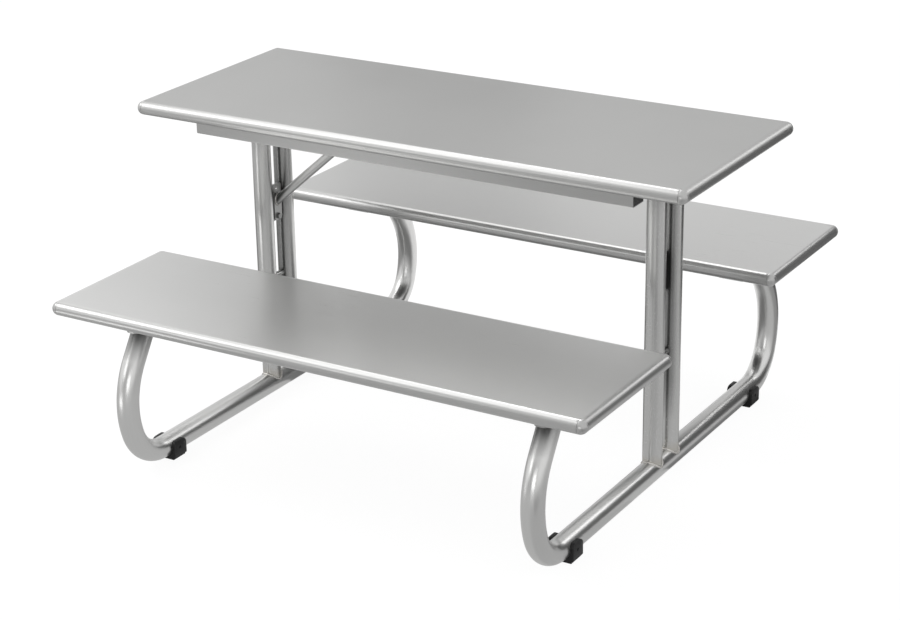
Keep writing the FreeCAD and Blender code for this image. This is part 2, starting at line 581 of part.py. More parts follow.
def glide(end, side):
    """A plastic saddle with two wings and a flat sole, under the tube's first bend."""
    middle = (end * FRAME_OFFSET, side * GLIDE_MIDDLE)
    width = BASE_TUBE_OD + 2 * GLIDE_WALL
    wings = block(width, GLIDE_LENGTH, BASE_R + GLIDE_WING_RISE, GLIDE_SOLE, *middle)
    wings = round_edges(wings, GLIDE_CORNER, X_AXIS)
    sole = block(width - 2 * GLIDE_SOLE_INSET, GLIDE_LENGTH - 2 * GLIDE_SOLE_INSET, BASE_R, 0, *middle)
    body = wings.fuse(sole).removeSplitter()
    body = body.cut(base_rod(end, BASE_R))
    return drill(body, [glide_screw_start(end, side)], GLIDE_SCREW_D, width, X_AXIS)


def glide_screw_start(end, side):
    """The low end of the line through a glide's two screws."""
    return (end * FRAME_OFFSET - BASE_R - GLIDE_WALL, side * GLIDE_MIDDLE, BASE_Z - GLIDE_SCREW_DROP)


def glide_screws(end, side):
    """The two small screws through a glide's wings into the base tube."""
    low = glide_screw_start(end, side)
    high = offset(low, X_AXIS, BASE_TUBE_OD + 2 * GLIDE_WALL)
    grip = GLIDE_WALL + BASE_TUBE_WALL + GLIDE_SCREW_PROUD
    screws = []
    for face, axis in ((low, X_AXIS), (high, X_AXIS * -1)):
        head = rod(GLIDE_SCREW_HEAD_D / 2, GLIDE_SCREW_HEAD_H, offset(face, axis, -GLIDE_SCREW_HEAD_H), axis)
        screws.append(head.fuse(rod(GLIDE_SCREW_D / 2, grip, face, axis)))
    return screws


def corner_parts(maker):
    """One solid for each of the four corners, made by a function of end and side."""
    return [maker(end, side) for end in ENDS.values() for side in SIDES.values()]


def slab_parts():
    """The table top and the two seats: skin, core board and lining sheet."""
    parts = {}
    screws = table_screw_points() + brace_screw_points()
    parts["table_top_skin"] = slab_skin(TABLE_LENGTH, TABLE_WIDTH, TABLE_HEIGHT, 0)
    parts["table_core_board"] = slab_core(TABLE_LENGTH, TABLE_WIDTH, TABLE_HEIGHT, 0, screws)
    parts["table_lining_sheet"] = slab_liner(TABLE_LENGTH, TABLE_WIDTH, TABLE_HEIGHT, 0, screws)
    for name, side in SIDES.items():
        middle = side * BENCH_OFFSET
        screws = [point for end in ENDS.values() for point in bearer_screw_points(end, side)]
        parts[f"{name}_seat_skin"] = slab_skin(BENCH_LENGTH, BENCH_WIDTH, SEAT_HEIGHT, middle)
        parts[f"{name}_seat_core_board"] = slab_core(BENCH_LENGTH, BENCH_WIDTH, SEAT_HEIGHT, middle, screws)
        parts[f"{name}_seat_lining_sheet"] = slab_liner(BENCH_LENGTH, BENCH_WIDTH, SEAT_HEIGHT, middle,
                                                        screws)
    return parts


def frame_parts():
    """The rails, crossbars, posts, base tubes and what is welded or bolted to them."""
    parts = {}
    for side_name, side in SIDES.items():
        parts[f"{side_name}_table_rail"] = table_rail(side)
    for end_name, end in ENDS.items():
        parts[f"{end_name}_crossbar"] = crossbar(end)
        parts[f"{end_name}_post_plate"] = post_plate(end)
        parts[f"{end_name}_base_tube"] = base_tube(end)
        parts[f"{end_name}_tie_plate"] = tie_plate(end)
        for side_name, side in SIDES.items():
            corner = f"{side_name}_{end_name}"
            parts[f"{corner}_post"] = post(end, side)
            parts[f"{corner}_seat_bearer"] = seat_bearer(end, side)
            parts[f"{corner}_seat_plate"] = seat_plate(end, side)
            parts[f"{corner}_glide"] = glide(end, side)
    parts["rail_end_caps"] = corner_parts(rail_end_cap)
    parts["post_spacers"] = [post_spacer(end) for end in ENDS.values()]
    parts["brace_tube"] = brace_tube()
    parts["brace_tab"] = brace_tab()
    parts["brace_foot"] = brace_foot()
    return parts


def weld_parts():
    """The weld beads."""
    return {
        "post_foot_welds": corner_parts(post_foot_weld),
        "post_top_welds": corner_parts(post_top_weld),
        "seat_plate_welds": corner_parts(seat_plate_weld),
        "brace_welds": brace_welds(),
    }


def fastener_parts():
    """The bolts, washers, nuts and screws, each kind in one group."""
    up = Z_AXIS
    under_rail = [offset(point, up, -WASHER_H) for point in rail_bolt_points()]
    under_plate = [offset(point, up, -WASHER_H) for point in post_plate_bolt_points()]
    nut_z = CROSSBAR_BOTTOM + CROSSBAR_WALL
    nut_faces = [(x, y, nut_z) for x, y, z in rail_bolt_points() + post_plate_bolt_points()]
    seat_faces = [(end * FRAME_OFFSET, side * y, TUBE_TOP)
                  for end in ENDS.values() for side in SIDES.values() for y in SEAT_BOLT_YS]
    seat_grip = SEAT_PLATE_THICKNESS + BEARER_WALL
    tab_face = (BRACE_START_X, 0, BRACE_BOLT_Z)
    brace_grip = BRACE_TAB_THICKNESS + TIE_PLATE_THICKNESS
    back = X_AXIS * -1
    seat_screws = [point for end in ENDS.values() for side in SIDES.values()
                   for point in bearer_screw_points(end, side)]
    return {
        "rail_bolts": [hex_bolt(face, up, WASHER_H + nut_z - RAIL_BOTTOM, NUT_H + THREAD_PROUD)
                       for face in under_rail],
        "post_plate_bolts": [hex_bolt(face, up, WASHER_H + nut_z - POST_TOP, NUT_H + THREAD_PROUD)
                             for face in under_plate],
        "underframe_washers": [washer(face, up) for face in under_rail + under_plate],
        "crossbar_weld_nuts": [hex_nut(face, up) for face in nut_faces],
        "seat_plate_bolts": [hex_bolt(face, up, seat_grip + WASHER_H, NUT_H + THREAD_PROUD)
                             for face in seat_faces],
        "seat_plate_washers": [washer(offset(face, up, seat_grip), up) for face in seat_faces],
        "seat_plate_nuts": [hex_nut(offset(face, up, seat_grip + WASHER_H), up) for face in seat_faces],
        "brace_bolt": hex_bolt(tab_face, back, brace_grip, NUT_H + THREAD_PROUD),
        "brace_nut": hex_nut(offset(tab_face, back, brace_grip), back),
        "brace_foot_screws": [wood_screw((x, y, BRACE_END_Z), BRACE_FOOT_THICKNESS + SHEET)
                              for x, y, z in brace_screw_points()],
        "table_rail_screws": [wood_screw(offset(point, up, -RAIL_WALL), RAIL_WALL + SHEET)
                              for point in table_screw_points()],
        "seat_bearer_screws": [wood_screw(offset(point, up, -BEARER_WALL), BEARER_WALL + SHEET)
                               for point in seat_screws],
        "glide_screws": [screw for corner in corner_parts(glide_screws) for screw in corner],
    }


def main():
    """Build every sub-part and write it to parts/."""
    os.makedirs("parts", exist_ok=True)
    parts = {**slab_parts(), **frame_parts(), **weld_parts(), **fastener_parts()}
    for name, solids in parts.items():
        shape = Part.makeCompound(solids) if isinstance(solids, list) else solids
        shape.exportStep(f"parts/{name}.step")
        print(f"{name}: {len(shape.Solids)} solids, {shape.Volume / 1000:.1f} cm3, valid {shape.isValid()}")


main()
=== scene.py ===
"""Stainless table with two attached benches: dressing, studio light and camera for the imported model.

Every length is in metres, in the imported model's own frame: the origin is on the floor under the middle
of the table, X runs along the table, Y from the front bench to the rear bench, and Z is up.
"""
from __future__ import annotations

import logging
from collections.abc import Iterable, Sequence
from dataclasses import dataclass, field
from enum import Enum
from math import asin, cos, pi, radians, sin, sqrt, tan

import bmesh
import bpy
from mathutils import Matrix, Vector

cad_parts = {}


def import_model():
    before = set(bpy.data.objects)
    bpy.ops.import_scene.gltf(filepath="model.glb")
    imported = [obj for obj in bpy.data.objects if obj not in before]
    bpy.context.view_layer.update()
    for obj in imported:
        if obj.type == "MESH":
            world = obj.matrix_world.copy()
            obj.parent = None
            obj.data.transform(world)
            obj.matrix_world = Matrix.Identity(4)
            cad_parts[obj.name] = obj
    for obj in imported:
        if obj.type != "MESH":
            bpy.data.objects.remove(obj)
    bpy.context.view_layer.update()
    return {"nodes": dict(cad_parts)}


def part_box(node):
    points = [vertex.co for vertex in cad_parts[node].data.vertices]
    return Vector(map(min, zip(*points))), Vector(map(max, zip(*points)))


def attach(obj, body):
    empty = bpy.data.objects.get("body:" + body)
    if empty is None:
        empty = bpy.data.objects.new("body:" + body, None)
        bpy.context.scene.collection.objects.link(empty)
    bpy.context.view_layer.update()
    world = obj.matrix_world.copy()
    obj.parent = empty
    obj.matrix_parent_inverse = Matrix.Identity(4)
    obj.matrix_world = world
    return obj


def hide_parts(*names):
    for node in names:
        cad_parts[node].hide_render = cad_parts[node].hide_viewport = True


LOG = logging.getLogger("table")
BODY = "root"
ENDS = {"left": -1, "right": 1}
SIDES = {"front": -1, "rear": 1}
FRAME_X = 0.492  # from the table's middle to each frame
BEAD_OUT = 0.0006  # how far a bead's line lies outside the tube's skin
BEAD_DROP = 0.0012  # how far a bead's line lies below the plate that it joins
WHITE = (1.0, 1.0, 1.0, 1.0)
SOCKET_KINDS = {float: "NodeSocketFloat", int: "NodeSocketInt", tuple: "NodeSocketVector"}

Ring = list[Vector]
Point = tuple[float, float, float]
Colour = tuple[float, float, float]
Socket = bpy.types.NodeSocket
Links = dict[str | int, object]


class Grain(Enum):
    """How the fine lines of a surface run, as noise cycles per metre along X, Y and Z."""

    ALONG_TABLE = (6.0, 420.0, 420.0)
    ACROSS_TABLE = (420.0, 6.0, 420.0)
    UPRIGHT = (420.0, 420.0, 6.0)
    ROUND_THE_FRAME = (420.0, 5.0, 5.0)
    ALONG_BRACE = (5.0, 420.0, 5.0)
    BLASTED = (260.0, 260.0, 260.0)
    CHIPPED = (300.0, 300.0, 300.0)
    MOULDED = (900.0, 900.0, 900.0)


# --- Node trees ----------------------------------------------------------------------------------


class NodeBuilder:
    """Short ways to lay out the nodes of a tree."""

    def __init__(self, tree: bpy.types.NodeTree) -> None:
        """Keep the tree."""
        self.tree = tree

    def node(self, kind: str, links: Links | None = None, **settings: object) -> bpy.types.Node:
        """Add a node, set it up and feed its inputs.

        Args:
            kind: The node's type name.
            links: Input name or index to a socket that feeds it, or to a plain value.
            settings: Properties of the node.

        Returns:
            The new node.
        """
        node = self.tree.nodes.new(kind)
        for key, value in settings.items():
            setattr(node, key, value)
        for key, value in (links or {}).items():
            if isinstance(value, Socket):
                self.tree.links.new(value, node.inputs[key])
            else:
                node.inputs[key].default_value = value
        return node

    def math(self, operation: str, *values: object) -> Socket:
        """A sum, product or other step of values or sockets."""
        return self.node("ShaderNodeMath", dict(enumerate(values)), operation=operation).outputs[0]

    def add_inputs(self, inputs: dict[str, object]) -> dict[str, str]:
        """Give the tree its named inputs.

        Args:
            inputs: Input name to its default value, whose type gives the socket's kind.

        Returns:
            Input name to its socket's identifier.
        """
        identifiers = {}
        for label, default in inputs.items():
            kind = SOCKET_KINDS[type(default)]
            socket = self.tree.interface.new_socket(label, in_out="INPUT", socket_type=kind)
            socket.default_value = default
            identifiers[label] = socket.identifier
        return identifiers


# --- Shader groups -------------------------------------------------------------------------------


class ShaderGroup(NodeBuilder):
    """A shader node group that is built once and placed in any number of materials."""

    def __init__(self, name: str, inputs: dict[str, object], outputs: Sequence[str]) -> None:
        """Start the group and its sockets.

        Args:
            name: The group's name.
            inputs: Input name to its default value.
            outputs: The names of the values that it puts out.
        """
        super().__init__(bpy.data.node_groups.new(name, "ShaderNodeTree"))
        self.add_inputs(inputs)
        for label in outputs:
            self.tree.interface.new_socket(label, in_out="OUTPUT", socket_type=SOCKET_KINDS[float])
        self.source = self.tree.nodes.new("NodeGroupInput").outputs
        self.result = self.tree.nodes.new("NodeGroupOutput").inputs

    def coordinates(self, kind: str = "Object") -> Socket:
        """The piece's own coordinates, or another output of Texture Coordinate."""
        return self.node("ShaderNodeTexCoord").outputs[kind]

    def height(self) -> Socket:
        """Height over the floor."""
        return self.node("ShaderNodeSeparateXYZ", {0: self.coordinates()}).outputs["Z"]

    def noise(self, place: Socket, scale: object, detail: float, roughness: float = 0.5) -> Socket:
        """Soft noise between 0 and 1."""
        return self.node("ShaderNodeTexNoise", {"Vector": place, "Scale": scale, "Detail": detail,
                                                "Roughness": roughness}).outputs["Fac"]

    def stretched(self, place: Socket, stretch: object) -> Socket:
        """Coordinates scaled along each axis."""
        return self.node("ShaderNodeVectorMath", {0: place, 1: stretch}, operation="MULTIPLY").outputs[0]

    def ramp(self, value: Socket, start: object, end: object, rising: bool = True) -> Socket:
        """A value carried from 0 at the start to 1 at the end, or the other way where it falls.

        Args:
            value: The value.
            start: Where it starts to change the result.
            end: Where it stops.
            rising: True to go from 0 to 1, False to go from 1 to 0.

        Returns:
            The result, held between 0 and 1.
        """
        return self.node("ShaderNodeMapRange", {
            "Value": value, "From Min": start, "From Max": end,
            "To Min": 0.0 if rising else 1.0, "To Max": 1.0 if rising else 0.0}).outputs["Result"]

    def give(self, label: str, socket: Socket) -> None:
        """Feed one of the group's outputs."""
        self.tree.links.new(socket, self.result[label])


def satin_grain_group() -> ShaderGroup:
    """Polishing lines and soft clouds on rolled sheet and drawn tube.

    Returns:
        A group that puts out Roughness, Shade and Height.
    """
    group = ShaderGroup("satin_grain", {
        "Stretch": Grain.ALONG_TABLE.value, "Cloud size": 3.0, "Roughness": 0.3, "Spread": 0.06, "Tone": 0.05,
    }, ("Roughness", "Shade", "Height"))
    source = group.source
    place = group.coordinates()
    lines = group.noise(group.stretched(place, source["Stretch"]), 1.0, detail=4.0, roughness=0.65)
    clouds = group.noise(place, source["Cloud size"], detail=2.0)
    swing = group.math("SUBTRACT", group.math("ADD", lines, clouds), 1.0)
    group.give("Roughness", group.math("MULTIPLY_ADD", swing, source["Spread"], source["Roughness"]))
    group.give("Shade", group.math("MULTIPLY_ADD", swing, source["Tone"], 1.0))
    group.give("Height", lines)
    return group


def hairline_group() -> ShaderGroup:
    """Rare fine scratches from cleaning and use.

    Returns:
        A group that puts out Mask, 1 inside a scratch.
    """
    group = ShaderGroup("hairlines", {
        "Slant": 0.4, "Rarity": 0.70, "Softness": 0.04, "Stretch": (9.0, 700.0, 700.0)}, ("Mask",))
    source = group.source
    turned = group.node("ShaderNodeVectorRotate", {"Vector": group.coordinates(), "Angle": source["Slant"]},
                        rotation_type="Z_AXIS").outputs[0]
    noise = group.noise(group.stretched(turned, source["Stretch"]), 1.0, detail=1.0)
    end = group.math("ADD", source["Rarity"], source["Softness"])
    group.give("Mask", group.ramp(noise, source["Rarity"], end))
    return group


def edge_wear_group() -> ShaderGroup:
    """Rubbed outer edges.

    Returns:
        A group that puts out Mask, 1 on a sharp outer edge.
    """
    group = ShaderGroup("edge_wear", {"Start": 0.53, "Range": 0.1, "Breakup": 90.0}, ("Mask",))
    source = group.source
    sharp = group.node("ShaderNodeNewGeometry").outputs["Pointiness"]
    noise = group.noise(group.coordinates(), source["Breakup"], detail=3.0)
    rubbed = group.ramp(sharp, source["Start"], group.math("ADD", source["Start"], source["Range"]))
    group.give("Mask", group.math("MULTIPLY", rubbed, noise))
    return group


def weld_heat_group() -> ShaderGroup:
    """The straw tint that welding leaves in a band beside a level.

    Returns:
        A group that puts out Mask, 1 at the level and 0 past the band.
    """
    group = ShaderGroup("weld_heat", {"Level": 0.05, "Band": 0.02, "Breakup": 60.0}, ("Mask",))
    source = group.source
    away = group.math("ABSOLUTE", group.math("SUBTRACT", group.height(), source["Level"]))
    noise = group.noise(group.coordinates(), source["Breakup"], detail=2.0)
    reach = group.math("MULTIPLY", group.math("MULTIPLY", noise, source["Band"]), 2.0)
    group.give("Mask", group.ramp(away, 0.0, reach, rising=False))
    return group


def contact_shade_group() -> ShaderGroup:
    """Painted contact shade: the metal's colour darkened by ambient occlusion where another piece stands
    close.

    Returns:
        A group that puts out Light, 1 in the open and less near a neighbour, but not next to the floor.
    """
    group = ShaderGroup("contact_shade", {
        "Reach": 0.10, "Strength": 1.0, "Clear below": 0.12, "Fade height": 0.1}, ("Light",))
    source = group.source
    top = group.math("ADD", source["Clear below"], source["Fade height"])
    power = group.math("MULTIPLY", group.ramp(group.height(), source["Clear below"], top), source["Strength"])
    near = group.node("ShaderNodeAmbientOcclusion", {"Distance": source["Reach"]}, samples=6).outputs["AO"]
    group.give("Light", group.math("POWER", near, power))
    return group


def rolled_edge_group() -> ShaderGroup:
    """Where a slab's flat face ends and its rolled edge begins.

    Returns:
        A group that puts out Mask, 0 on the flat and 1 round the edge.
    """
    group = ShaderGroup("rolled_edge", {"Flat": 0.995, "Rolled": 0.93}, ("Mask",))
    rise = group.node("ShaderNodeSeparateXYZ", {0: group.coordinates("Normal")}).outputs["Z"]
    group.give("Mask", group.ramp(rise, group.source["Flat"], group.source["Rolled"]))
    return group


class Effects:
    """The shader groups that the finishes share."""

    def __init__(self) -> None:
        """Build each group once."""
        self.grain = satin_grain_group()
        self.hairlines = hairline_group()
        self.edge_wear = edge_wear_group()
        self.weld_heat = weld_heat_group()
        self.contact_shade = contact_shade_group()
        self.rolled_edge = rolled_edge_group()


# --- Finishes ------------------------------------------------------------------------------------


class Look(NodeBuilder):
    """A material while its nodes are laid out."""

    def __init__(self, name: str) -> None:
        """Start the material with a plain shader.

        Args:
            name: The material's name.
        """
        self.material = bpy.data.materials.new(name)
        self.material.use_nodes = True
        super().__init__(self.material.node_tree)
        self.inputs = self.tree.nodes["Principled BSDF"].inputs

    def place(self, group: ShaderGroup, **values: object) -> bpy.types.NodeOutputs:
        """Put a shared group in the material.

        Args:
            group: The group.
            values: The group's inputs, with spaces written as underscores.

        Returns:
            The group's outputs.
        """
        node = self.tree.nodes.new("ShaderNodeGroup")
        node.node_tree = group.tree
        for key, value in values.items():
            node.inputs[key.replace("_", " ")].default_value = value
        return node.outputs

    def blend(self, share: Socket, first: Colour, second: Colour) -> Socket:
        """A colour between two, by a share from 0 to 1."""
        return self.node("ShaderNodeMix", {"Factor": share, 6: (*first, 1.0), 7: (*second, 1.0)},
                         data_type="RGBA").outputs[2]

    def feed(self, colour: Socket, roughness: Socket, height: Socket, depth: float,
             strength: float = 1.0) -> None:
        """Feed the shader's three inputs that change over the surface.

        Args:
            colour: What feeds Base Color.
            roughness: What feeds Roughness.
            height: The relief from 0 to 1.
            depth: How deep the relief is, in metres.
            strength: How much of the relief shows.
        """
        bump = self.node("ShaderNodeBump", {
            "Height": height, "Strength": strength, "Distance": depth}).outputs[0]
        for label, socket in (("Base Color", colour), ("Roughness", roughness), ("Normal", bump)):
            self.tree.links.new(socket, self.inputs[label])


@dataclass(frozen=True)
class SatinSteel:
    """Bare stainless steel with a satin polish.

    Attributes:
        name: The material's name.
        colour: The metal's colour; on the top it is set darker as painted shade and on the seats lighter as
            painted light.
        roughness: The middle of its roughness.
        grain: Which way its polishing lines run.
        spread: How much its roughness varies.
        tone: How much its colour varies.
        depth: How deep the polishing lines are, in metres.
        scratches: How far a hairline scratch changes the roughness.
        heat_level: Height of a weld that has tinted it, or None.
        heat_tint: What that tint leaves of its red, green and blue.
        metal: Share of clean mirror-like metal, the rest being the haze of a satin polish.
        contact: How strongly the painted contact shade darkens its colour near close neighbours, 0 for not at
            all.
        edge_shade: How bright its rolled edges are next to its flats, a painted shade on the edges, or None.
    """

    name: str
    colour: Colour = (0.60, 0.60, 0.592)
    roughness: float = 0.30
    grain: Grain = Grain.ALONG_TABLE
    spread: float = 0.05
    tone: float = 0.05
    depth: float = 0.000004
    scratches: float = 0.08
    heat_level: float | None = None
    heat_tint: Colour = (0.93, 0.90, 0.85)
    metal: float = 1.0
    contact: float = 0.0
    edge_shade: float | None = None

    def build(self, effects: Effects) -> bpy.types.Material:
        """Make the material.

        Args:
            effects: The shared shader groups.

        Returns:
            The material.
        """
        look = Look(self.name)
        look.inputs["Metallic"].default_value = self.metal
        grain = look.place(effects.grain, Stretch=self.grain.value, Roughness=self.roughness,
                           Spread=self.spread, Tone=self.tone)
        scratch = look.place(effects.hairlines)["Mask"]
        shade = grain["Shade"]
        # Painted contact shade: ambient occlusion darkens the base colour near neighbouring pieces.
        if self.contact:
            near = look.place(effects.contact_shade, Strength=self.contact)["Light"]
            shade = look.math("MULTIPLY", shade, near)
        colour = look.node("ShaderNodeVectorMath", {0: self._tinted(look, effects), "Scale": shade},
                           operation="SCALE").outputs[0]
        roughness = look.math("MULTIPLY_ADD", scratch, self.scratches, grain["Roughness"])
        look.feed(colour, roughness, grain["Height"], self.depth)
        return look.material

    def _tinted(self, look: Look, effects: Effects) -> object:
        """The metal's colour, with its weld tint or the painted shade on its rolled edges where it has one.

        Args:
            look: The material in the making.
            effects: The shared shader groups.

        Returns:
            A plain colour or the socket that gives it.
        """
        if self.heat_level is not None:
            mask = look.place(effects.weld_heat, Level=self.heat_level)["Mask"]
            other = tuple(part * left for part, left in zip(self.colour, self.heat_tint))
        # Painted shade: a darker copy of the colour on the rolled edges.
        elif self.edge_shade is not None:
            mask = look.place(effects.rolled_edge)["Mask"]
            other = tuple(part * self.edge_shade for part in self.colour)
        else:
            return self.colour
        return look.blend(mask, self.colour, other)


@dataclass(frozen=True)
class MouldedPlastic:
    """Matt black plastic with a fine spark-eroded surface.

    Attributes:
        name: The material's name.
        colour: The plastic's own colour.
        rubbed: The colour of its rubbed edges.
        roughness: The middle of its roughness.
        spread: How much its roughness varies.
        tone: How much its colour varies.
        shine: Its specular level.
        depth: How deep its surface is, in metres.
    """

    name: str = "glide_black"
    colour: Colour = (0.006, 0.006, 0.0065)
    rubbed: Colour = (0.07, 0.07, 0.072)
    roughness: float = 0.46
    spread: float = 0.12
    tone: float = 0.3
    shine: float = 0.3
    depth: float = 0.00006

    def build(self, effects: Effects) -> bpy.types.Material:
        """Make the material.

        Args:
            effects: The shared shader groups.

        Returns:
            The material.
        """
        look = Look(self.name)
        look.inputs["Specular IOR Level"].default_value = self.shine
        grain = look.place(effects.grain, Stretch=Grain.MOULDED.value, Roughness=self.roughness,
                           Spread=self.spread, Tone=self.tone)
        colour = look.blend(look.place(effects.edge_wear)["Mask"], self.colour, self.rubbed)
        look.feed(colour, grain["Roughness"], grain["Height"], self.depth)
        return look.material


@dataclass(frozen=True)
class PressedBoard:
    """Raw chipboard inside the slabs.

    Attributes:
        name: The material's name.
        pale: The colour of its chips.
        dark: The colour between them.
        chips: How many chips there are to a metre.
        roughness: The middle of its roughness.
        spread: How much its roughness varies.
        depth: How deep its surface is, in metres.
        strength: How much of that depth shows.
    """

    name: str = "core_chipboard"
    pale: Colour = (0.62, 0.47, 0.30)
    dark: Colour = (0.34, 0.23, 0.13)
    chips: float = 260.0
    roughness: float = 0.85
    spread: float = 0.1
    depth: float = 0.0003
    strength: float = 0.6

    def build(self, effects: Effects) -> bpy.types.Material:
        """Make the material.

        Args:
            effects: The shared shader groups.

        Returns:
            The material.
        """
        look = Look(self.name)
        place = look.node("ShaderNodeTexCoord").outputs["Object"]
        chips = look.node("ShaderNodeTexVoronoi", {"Vector": place, "Scale": self.chips}).outputs["Distance"]
        grain = look.place(effects.grain, Stretch=Grain.CHIPPED.value, Roughness=self.roughness,
                           Spread=self.spread)
        colour = look.blend(chips, self.pale, self.dark)
        look.feed(colour, grain["Roughness"], chips, self.depth, self.strength)
        return look.material


class Finishes:
    """Every finish on the table, built once."""

    def __init__(self) -> None:
        """Build the finishes."""
        effects = Effects()
        # Painted shade and painted light: the top and the seats are one steel, the top's colour set darker
        # and the seats' lighter to offset how the light falls on them.
        self.top = SatinSteel("top_satin", colour=(0.45, 0.45, 0.444), roughness=0.32,
                              metal=0.85).build(effects)
        self.seat = SatinSteel("seat_satin", colour=(0.635, 0.635, 0.628), roughness=0.28, metal=0.80,
                               edge_shade=0.68, spread=0.02, tone=0.03, depth=0.000002).build(effects)
        self.post = SatinSteel("post_satin", roughness=0.25, grain=Grain.UPRIGHT, heat_level=0.052,
                               scratches=0.05, contact=2.0).build(effects)
        self.base = SatinSteel("base_tube_satin", colour=(0.66, 0.66, 0.652), roughness=0.28,
                               grain=Grain.ROUND_THE_FRAME, spread=0.01, depth=0.000001, scratches=0.02,
                               contact=2.4).build(effects)
        self.brace = SatinSteel("brace_satin", roughness=0.28, grain=Grain.ALONG_BRACE,
                                contact=1.0).build(effects)
        self.rail = SatinSteel("rail_mill", colour=(0.42, 0.42, 0.415), roughness=0.34).build(effects)
        self.plate = SatinSteel("plate_mill", colour=(0.38, 0.38, 0.375), roughness=0.34,
                                grain=Grain.ACROSS_TABLE).build(effects)
        self.lining = SatinSteel("lining_mill", colour=(0.80, 0.80, 0.79), metal=0.3).build(effects)
        # Painted shade: the seat linings are near black so that the tubes under them mirror them as shade.
        self.seat_lining = SatinSteel("seat_lining_painted_shade", colour=(0.13, 0.13, 0.13),
                                      roughness=0.5).build(effects)
        self.bead = SatinSteel("weld_bead", colour=(0.60, 0.585, 0.56), roughness=0.26, grain=Grain.BLASTED,
                               tone=0.2, depth=0.00004).build(effects)
        self.fastener = SatinSteel("fastener_bright", colour=(0.24, 0.24, 0.237), roughness=0.26,
                                   grain=Grain.BLASTED).build(effects)
        self.dark_screw = SatinSteel("screw_black_oxide", colour=(0.03, 0.03, 0.032), roughness=0.38,
                                     grain=Grain.BLASTED).build(effects)
        self.glide = MouldedPlastic().build(effects)
        self.board = PressedBoard().build(effects)


# --- Mesh making ---------------------------------------------------------------------------------


def loft(rings: Sequence[Ring], looped: bool = False) -> bpy.types.Mesh:
    """Join rings of points into a closed skin.

    Args:
        rings: Rings with the same number of points.
        looped: True to join the last ring to the first, False to cap both.

    Returns:
        The mesh, with its faces pointing outwards.
    """
    count = len(rings[0])
    form = bmesh.new()
    rows = [[form.verts.new(point) for point in ring] for ring in rings]
    steps = list(zip(rows, rows[1:])) + ([(rows[-1], rows[0])] if looped else [])
    for low, high in steps:
        for i in range(count):
            j = (i + 1) % count
            form.faces.new((low[i], low[j], high[j], high[i]))
    if not looped:
        form.faces.new(list(reversed(rows[0])))
        form.faces.new(rows[-1])
    bmesh.ops.recalc_face_normals(form, faces=form.faces)
    mesh = bpy.data.meshes.new("loft")
    form.to_mesh(mesh)
    form.free()
    return mesh


def joined(meshes: Iterable[bpy.types.Mesh]) -> bpy.types.Mesh:
    """Put several meshes into one and remove them.

    Args:
        meshes: The meshes.

    Returns:
        The new mesh.
    """
    form = bmesh.new()
    for mesh in meshes:
        form.from_mesh(mesh)
        bpy.data.meshes.remove(mesh)
    mesh = bpy.data.meshes.new("joined")
    form.to_mesh(mesh)
    form.free()
    return mesh


def hand_over(name: str, mesh: bpy.types.Mesh, material: bpy.types.Material, slot: str, *nodes: str,
              crease: float = 35.0) -> None:
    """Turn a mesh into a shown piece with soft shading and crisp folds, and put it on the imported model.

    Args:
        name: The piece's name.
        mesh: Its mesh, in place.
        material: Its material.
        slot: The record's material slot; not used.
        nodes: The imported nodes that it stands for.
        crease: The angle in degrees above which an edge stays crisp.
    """
    mesh.name = name
    mesh.materials.clear()
    mesh.materials.append(material)
    for polygon in mesh.polygons:
        polygon.use_smooth = True
        polygon.material_index = 0
    mesh.set_sharp_from_angle(angle=radians(crease))
    piece = bpy.data.objects.new(name, mesh)
    bpy.context.scene.collection.objects.link(piece)
    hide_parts(*nodes)
    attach(piece, BODY)
    LOG.info("%s: %d faces for %s", piece.name, len(piece.data.polygons), ", ".join(nodes))


# --- Repeated pieces -----------------------------------------------------------------------------


